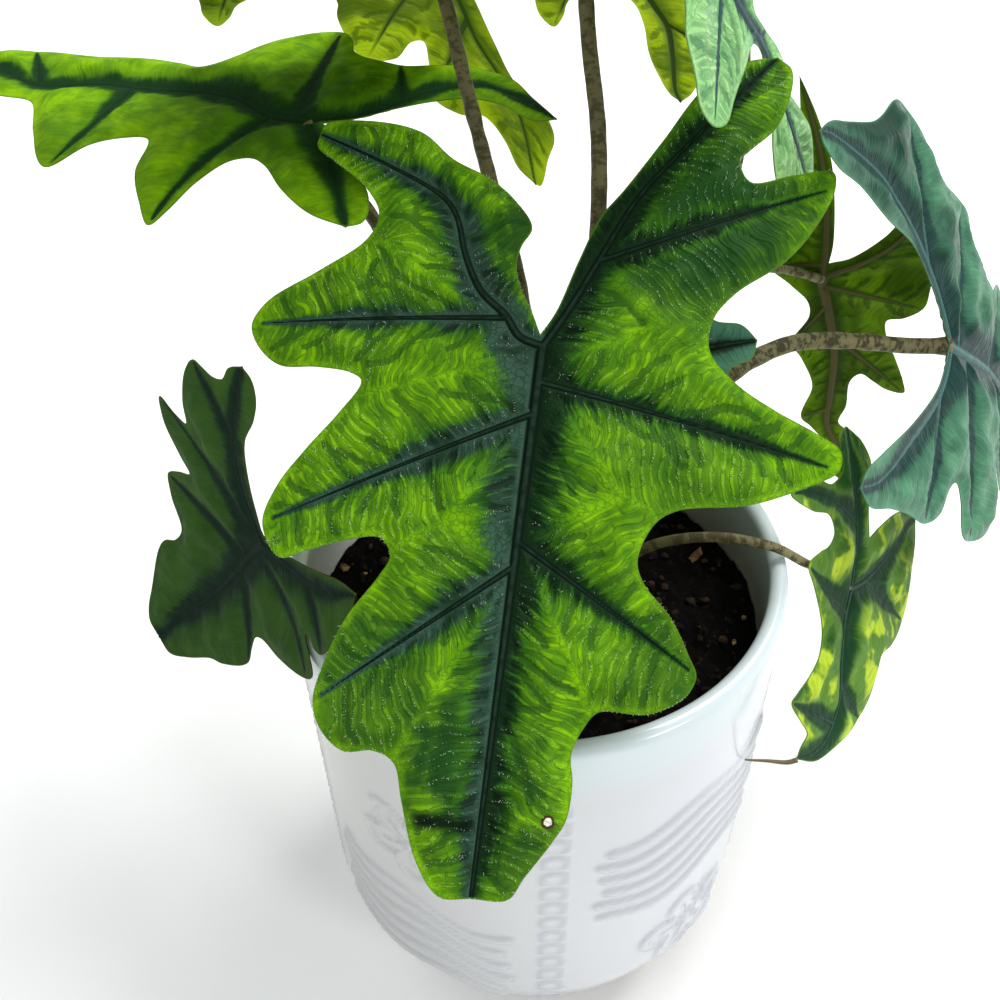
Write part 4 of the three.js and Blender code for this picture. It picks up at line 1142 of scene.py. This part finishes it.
class Value:
    """A number, colour or place that changes over a surface: an output of one of a paint's nodes."""

    def __init__(self, paint, socket):
        self.paint = paint
        self.socket = socket

    def math(self, operation, other=0.0):
        return self.paint.add("ShaderNodeMath", {0: self, 1: other}, operation=operation)

    def vector_math(self, operation, other=(0, 0, 0), output="Vector"):
        return self.paint.add("ShaderNodeVectorMath", {0: self, 1: other}, output, operation=operation)

    def __add__(self, other):
        return self.math("ADD", other)

    def __sub__(self, other):
        return self.math("SUBTRACT", other)

    def __mul__(self, other):
        return self.math("MULTIPLY", other)

    def __truediv__(self, other):
        return self.math("DIVIDE", other)

    def most(self, other):
        return self.math("MAXIMUM", other)

    def part(self, axis):
        return self.paint.add("ShaderNodeSeparateXYZ", {0: self}, axis)

    def fade(self, low, high, start=0.0, end=1.0):
        """Start where this is at low, end where it is at high, and soft in between."""
        inputs = {"Value": self, "From Min": low, "From Max": high, "To Min": start, "To Max": end}
        return self.paint.add("ShaderNodeMapRange", inputs, "Result", interpolation_type="SMOOTHSTEP")

    def noise(self, scale, detail=2.0, roughness=0.5):
        inputs = {"Vector": self, "Scale": scale, "Detail": detail, "Roughness": roughness}
        return self.paint.add("ShaderNodeTexNoise", inputs, "Fac")

    def shift(self, scale, amount):
        """A small smooth shift for this place."""
        inputs = {"Vector": self, "Scale": scale, "Detail": 2.0}
        shift = self.paint.add("ShaderNodeTexNoise", inputs, "Color").vector_math("SUBTRACT", (0.5, 0.5, 0.5))
        return self.paint.add("ShaderNodeVectorMath", {0: shift, "Scale": amount}, operation="SCALE")

    def cells(self, scale):
        """Distance to the edge of the nearest irregular cell."""
        inputs = {"Vector": self, "Scale": scale}
        return self.paint.add("ShaderNodeTexVoronoi", inputs, "Distance", feature="DISTANCE_TO_EDGE")


class Paint:
    """A procedural material and the nodes in it."""

    def __init__(self, name):
        self.material = bpy.data.materials.new(name)
        self.material.use_nodes = True
        self.tree = self.material.node_tree
        self.shader = self.tree.nodes["Principled BSDF"]

    def put(self, socket, value):
        if isinstance(value, Value):
            self.tree.links.new(value.socket, socket)
        elif isinstance(value, tuple) and len(value) == 3 and socket.type == "RGBA":
            socket.default_value = (*value, 1)
        else:
            socket.default_value = value

    def add(self, kind, inputs=(), output=0, **settings):
        made = self.tree.nodes.new(kind)
        for key, value in settings.items():
            setattr(made, key, value)
        for key, value in dict(inputs).items():
            self.put(made.inputs[key], value)
        return Value(self, made.outputs[output])

    def number(self, name):
        return self.add("ShaderNodeAttribute", output="Fac", attribute_name=name)

    def place(self):
        return self.add("ShaderNodeAttribute", output="Vector", attribute_name="place")

    def room_place(self):
        return self.add("ShaderNodeTexCoord", output="Object")

    def vector(self, x, y):
        return self.add("ShaderNodeCombineXYZ", {0: x, 1: y})

    def mix(self, share, first, second):
        return self.add("ShaderNodeMix", {0: share, 6: first, 7: second}, 2, data_type="RGBA")

    def bump(self, height, strength, distance):
        inputs = {"Height": height, "Strength": strength, "Distance": distance}
        self.put(self.shader.inputs["Normal"], self.add("ShaderNodeBump", inputs, "Normal"))

    def finish(self, colour, roughness, **sockets):
        sockets = {"Base Color": colour, "Roughness": roughness, **sockets}
        for name, value in sockets.items():
            self.put(self.shader.inputs[name.replace("_", " ")], value)
        return self.material


# Fine net of veinlets: long cells drawn away from each vein, round ones where the veins' fields meet
def veinlets(paint, place, run, gap, mask, across_vein):
    near = paint.vector(run * 0.6, gap * 0.17).vector_math("ADD", place.shift(0.35, 0.7)).cells(1.0)
    far = place.vector_math("ADD", place.shift(0.5, 1.1)).cells(0.62)
    net = (near.fade(0.13, 0.0) * mask).most(far.fade(0.13, 0.0) * mask.fade(0.9, 0.2, 0.12, 0.8))
    return net * across_vein.fade(1.1, 1.6)


# Lamina: two greens in clouds, or pale patches on a blotched leaf, under its soft darker shades: painted
# shade where the blade turns from the light, together with darker tone
def lamina_colour(paint, place, style):
    if style["blotch"]:
        colour = paint.mix(place.noise(0.09, 3).fade(0.49, 0.6), style["middle"], style["lamina"])
    else:
        colour = paint.mix(place.noise(0.13, 3).fade(0.36, 0.64) * 0.7, style["lamina"], style["middle"])
    patchy = (place.noise(0.18, 3) - 0.5) * 26.0
    # Soft darker patches: painted shade where the blade turns from the light, and darker tone
    for across, along, radius, amount in style["shades"]:
        away = place.vector_math("DISTANCE", (across, along, 0), "Value")
        shade = (away + patchy).fade(radius, radius * 0.3) * amount
        colour = paint.mix(shade, colour, style["deep"])
    return colour


# Bands: dark and feathered along the veins, with a painted sheen, a painted reflection, on the leaf's left
# side
def banded(paint, colour, place, reach, style):
    colour = paint.mix(reach.fade(1.9, 0.85, 0.0, 0.85), colour, style["middle"])
    colour = paint.mix(reach.fade(1.1, 0.55), colour, style["deep"])
    colour = paint.mix(reach.fade(0.72, 0.3), colour, style["band"])
    # Painted sheen: a painted reflection on the bands of the leaf's left side
    shine = place.part("X").fade(-0.6, 0.6) * place.noise(0.12, 2).fade(0.34, 0.52, 0.35, 1.0)
    return paint.mix(shine * reach.fade(1.2, 0.55, 0.0, 0.85), colour, style["sheen"])


# Marks of the front leaf: a dark line of painted shade where it folds across the tip, and a pale round spot
# with a brown ring
def marked(paint, colour, place, style):
    across = place.part("X")
    # Painted shade of the fold across the tip: the blade itself is not folded there
    off = (place.part("Y") - FOLD_SHADE_ALONG).math("ABSOLUTE") + place.noise(0.6, 2) * 1.2
    start = across.fade(FOLD_SHADE_FROM - FOLD_SHADE_SOFT, FOLD_SHADE_FROM + FOLD_SHADE_SOFT)
    sides = start * across.fade(FOLD_SHADE_TO + FOLD_SHADE_SOFT, FOLD_SHADE_TO - FOLD_SHADE_SOFT)
    colour = paint.mix(sides * off.fade(3.4, 1.0, 0.0, 0.95), colour, style["vein"])
    away = place.vector_math("DISTANCE", SPOT_PLACE, "Value") + place.noise(1.5, 2) * 0.5
    colour = paint.mix(away.fade(1.9, 1.55), colour, SPOT_RING)
    return paint.mix(away.fade(1.25, 1.05), colour, SPOT_MIDDLE)


# Leaf top: banded lamina, fine dark lines between the ridges, double-edged veins and a thin rim
def top_paint(name, style):
    paint = Paint(f"{name}_top")
    place = paint.place()
    gap, run, mask = paint.number("vein_gap"), paint.number("vein_run"), paint.number("vein_mask")
    feather = (paint.vector(run * 0.9, gap * 0.11).noise(1.0, 4, 0.6) - 0.5) * style["feather"]
    drift = (place.noise(0.05, 2) - 0.5) * 2.2
    reach = paint.number("vein_reach") / style["band_width"] + (feather + drift)
    colour = banded(paint, lamina_colour(paint, place, style), place, reach, style)
    turns = run * (2 * math.pi / style["ridge_step"])
    # Dark lines in the furrows between the fine ridges and in the small creases: painted shade in these
    # grooves, together with the leaf's own fine dark veinlets
    furrow = turns.math("COSINE").fade(0.2, -1.0) * mask
    fine = (turns * 2.0).math("COSINE").fade(0.1, -1.0) * mask
    across_vein = gap / paint.number("vein_width")
    lines = (furrow * 0.5).most(fine * 0.32)
    if style["lines"] > VEINLETS_ABOVE:
        lines = lines.most(veinlets(paint, place, run, gap, mask, across_vein) * 0.62)
    crease = paint.number("vein_crease").fade(0.5, 0.08) * mask
    lines = lines.most(crease * 0.75) * style["lines"]
    colour = paint.mix(lines, colour, paint.mix(reach.fade(1.2, 0.6), style["deep"], style["vein"]))
    colour = paint.mix(across_vein.fade(1.3, 0.8), colour, style["vein"])
    # A paler crest along each vein, in patches: partly the vein's own colour, partly a painted highlight
    crest_tone_and_highlight = place.noise(0.4, 2).fade(0.3, 0.6, 0.35, 1.0)
    colour = paint.mix(crest_tone_and_highlight * across_vein.fade(0.6, 0.2), colour, style["crest"])
    colour = paint.mix(paint.number("vein_rim").fade(0.6, 0.1) * 0.6, colour, style["rim"])
    if name == SPOT_LEAF:
        colour = marked(paint, colour, place, style)
    grain = place.noise(1.7, 3) * across_vein.fade(0.9, 1.6, 0.25, 1.0)
    paint.bump(grain - fine * 0.7, 0.75 * style["lines"] ** 0.5, 0.00024)
    rough = place.noise(0.3, 2).fade(0.3, 0.7, style["roughness"] - 0.06, style["roughness"] + 0.08)
    return paint.finish(colour, rough, Specular_IOR_Level=style["gloss"])


# Leaf underside: paler, with darker bands, furrows and creases, and raised ribs in a colour of their own
def under_paint(name, style):
    paint = Paint(f"{name}_under")
    place = paint.place()
    mask, darker = paint.number("vein_mask"), style["under_deep"]
    colour = paint.mix(place.noise(0.06, 3).fade(0.35, 0.65) * 0.75, style["under"], darker)
    colour = paint.mix(paint.number("vein_reach").fade(0.75, 0.15, 0.0, 0.85), colour, darker)
    furrow = (paint.number("vein_run") * (2 * math.pi / style["ridge_step"])).math("COSINE")
    colour = paint.mix(furrow.fade(0.3, 1.0) * mask * 0.25, colour, darker)
    colour = paint.mix(paint.number("vein_crease").fade(0.9, 0.2) * mask * 0.6, colour, darker)
    across_vein = paint.number("vein_gap") / paint.number("vein_width")
    colour = paint.mix(across_vein.fade(1.3, 0.85), colour, style["under_vein"])
    paint.bump(place.noise(1.2, 3), 0.3, 0.00015)
    return paint.finish(colour, 0.55, Specular_IOR_Level=style["gloss"])


def hair_paint():
    paint = Paint("hairs_pale")
    return paint.finish(paint.mix(paint.room_place().noise(400, 1), *HAIR_COLOURS), 0.4)


def dry_paint():
    paint = Paint("dry_tip")
    return paint.finish(paint.mix(paint.place().noise(0.5, 2), *DRY_COLOURS), 0.6)


# Petiole: tan with irregular brown blotches; painted shade makes it darker where it stands at the left, and
# painted light paler at the right
def petiole_paint():
    paint = Paint("petiole_mottled")
    place = paint.place()
    stretched = place.vector_math("MULTIPLY", (0.5, 0.3, 0.85))
    # Painted shade at the left and painted light at the right of the room
    pale = paint.mix(paint.room_place().part("X").fade(0.04, 0.07), PETIOLE_SHADED, PETIOLE_SUNNY)
    colour = paint.mix(stretched.noise(0.75, 3, 0.6).fade(0.44, 0.58), pale, PETIOLE_DARK)
    colour = paint.mix(place.noise(2.2, 2) * 0.45, colour, PETIOLE_MIDDLE)
    paint.bump(stretched.noise(2.5, 3), 0.4, 0.0002)
    return paint.finish(colour, 0.55, Specular_IOR_Level=0.2)


# Glaze: cool white with faint clouds and specks, and aqua at the lip. Painted shade makes it greyer and
# warmer at the left and painted light brighter and bluer at the right; painted shade greys it at the foot of
# the relief.
# Inside, painted light makes it bright at the left and painted shade grey-brown at the right, towards the
# soil.
def glaze_paint():
    paint = Paint("glaze_white")
    place = paint.room_place()
    height, right = place.part("Z"), place.part("X")
    radius = place.vector_math("MULTIPLY", (1, 1, 0)).vector_math("LENGTH", output="Value")
    cloud = place.noise(22, 3)
    # Painted shade at the left of the pot and painted light at its right
    colour = paint.mix(cloud * 0.4, paint.mix(right.fade(-0.07, 0.06), GLAZE_SHADED_LEFT, GLAZE_LIT_RIGHT), GLAZE_CLOUD)
    lip = height + place.noise(30, 2) * 0.006
    colour = paint.mix(lip.fade(0.138, 0.158, 0.0, 0.8), colour, GLAZE_AQUA)
    # Painted shade greys the glaze at the foot of the relief
    colour = paint.mix(paint.number("relief_foot_shade") * 0.6, colour, GLAZE_RELIEF_SHADE)
    colour = paint.mix(place.noise(330, 2).fade(0.74, 0.8, 0.0, 0.35), colour, GLAZE_SPECK)
    inside = radius.fade((POT_RADIUS - 0.4 * POT_WALL) * MM, (POT_RADIUS - 0.9 * POT_WALL) * MM)
    # Painted light makes the inside bright at the left
    colour = paint.mix(inside * right.fade(-0.02, -0.05), colour, GLAZE_INSIDE_LIT)
    # Painted shade makes the inside grey-brown at the right, towards the soil
    inside_shade = inside * (height + cloud * 0.012).fade(0.162, 0.146) * right.fade(-0.04, 0.04)
    colour = paint.mix(inside_shade * 0.75, colour, INSIDE_SHADE_BROWN)
    paint.bump(place.noise(120, 2), 0.1, 0.0004)
    return paint.finish(colour, 0.2, Specular_IOR_Level=0.45, Coat_Weight=0.2, Coat_Roughness=0.1)


def soil_paint():
    paint = Paint("soil_dark")
    place = paint.room_place()
    paint.bump(place.noise(700, 4, 0.7), 0.8, 0.0008)
    flecks = place.noise(420, 4, 0.7).fade(0.55, 0.72)
    return paint.finish(paint.mix(flecks, *SOIL_COLOURS), 0.9, Specular_IOR_Level=0.08)


def crumb_paint(name, colours):
    paint = Paint(name)
    place = paint.room_place()
    paint.bump(place.noise(900, 3), 0.6, 0.0005)
    tone = place.noise(250, 3).fade(0.4, 0.65)
    return paint.finish(paint.mix(tone, *colours), 0.85, Specular_IOR_Level=0.12)


def floor():
    paint = Paint("floor_pale")
    paint.finish(paint.mix(paint.room_place().noise(3, 2), *FLOOR_COLOURS), 0.7)
    corners = [(x * FLOOR_HALF, y * FLOOR_HALF, 0) for x, y in ((-1, -1), (1, -1), (1, 1), (-1, 1))]
    made = new_object("floor", corners, [[0, 1, 2, 3]], [paint.material])


def soft_light(name, power, spread, direction):
    lamp = bpy.data.lights.new(name, "SUN")
    lamp.energy = power
    lamp.angle = math.radians(spread)
    lamp.color = LAMP_COLOUR
    place_in_scene(name, lamp).rotation_euler = Vector(direction).to_track_quat("Z", "Y").to_euler()


# Light: a bright room that is brighter overhead, a broad soft window from the upper back right, and a weaker
# soft fill from the front right
def lighting():
    world = bpy.data.worlds.new("room")
    world.use_nodes = True
    nodes, links = world.node_tree.nodes, world.node_tree.links
    split = nodes.new("ShaderNodeSeparateXYZ")
    ramp = nodes.new("ShaderNodeMapRange")
    ramp.inputs["To Min"].default_value = SKY_LOW
    ramp.inputs["To Max"].default_value = SKY_HIGH
    links.new(nodes.new("ShaderNodeTexCoord").outputs["Generated"], split.inputs[0])
    links.new(split.outputs["Z"], ramp.inputs["Value"])
    links.new(ramp.outputs["Result"], nodes["Background"].inputs["Strength"])
    nodes["Background"].inputs["Color"].default_value = SKY_COLOUR
    bpy.context.scene.world = world
    bpy.context.scene.view_settings.view_transform = "Standard"
    soft_light("window", WINDOW_POWER, WINDOW_SPREAD, WINDOW_FROM)
    soft_light("fill", FILL_POWER, FILL_SPREAD, FILL_FROM)


def camera():
    lens = bpy.data.cameras.new("camera")
    lens.lens = CAMERA_LENS
    lens.sensor_width = CAMERA_SENSOR
    lens.clip_start = CAMERA_NEAR
    made = place_in_scene("camera", lens)
    made.location = CAMERA_PLACE
    pitch, roll = math.radians(CAMERA_PITCH_DOWN), math.radians(CAMERA_ROLL)
    forward = Vector((0, math.cos(pitch), -math.sin(pitch)))
    level = Vector((1, 0, 0))
    right = level * math.cos(roll) + level.cross(forward) * math.sin(roll)
    made.rotation_euler = Matrix((right, right.cross(forward), -forward)).transposed().to_euler()
    bpy.context.scene.camera = made


camera()
lighting()
floor()
pot(glaze_paint())
soil(soil_paint())
crumbs([crumb_paint("crumb_dark", CRUMB_COLOURS), crumb_paint("chip_pale", CHIP_COLOURS)])
stalk = petiole_paint()
for number, leaf in enumerate(LEAVES):
    style = LOOKS[leaf["name"]]
    paints = [top_paint(leaf["name"], style), under_paint(leaf["name"], style)]
    tops, facts, places, out = blade(leaf, style, paints)
    petiole(leaf, stalk, PETIOLE_SEED + number)
    if leaf is HANGING:
        drip_tip(leaf, dry_paint())
    if leaf is FRONT:
        hairs(leaf, style, tops, facts, places, out, hair_paint())
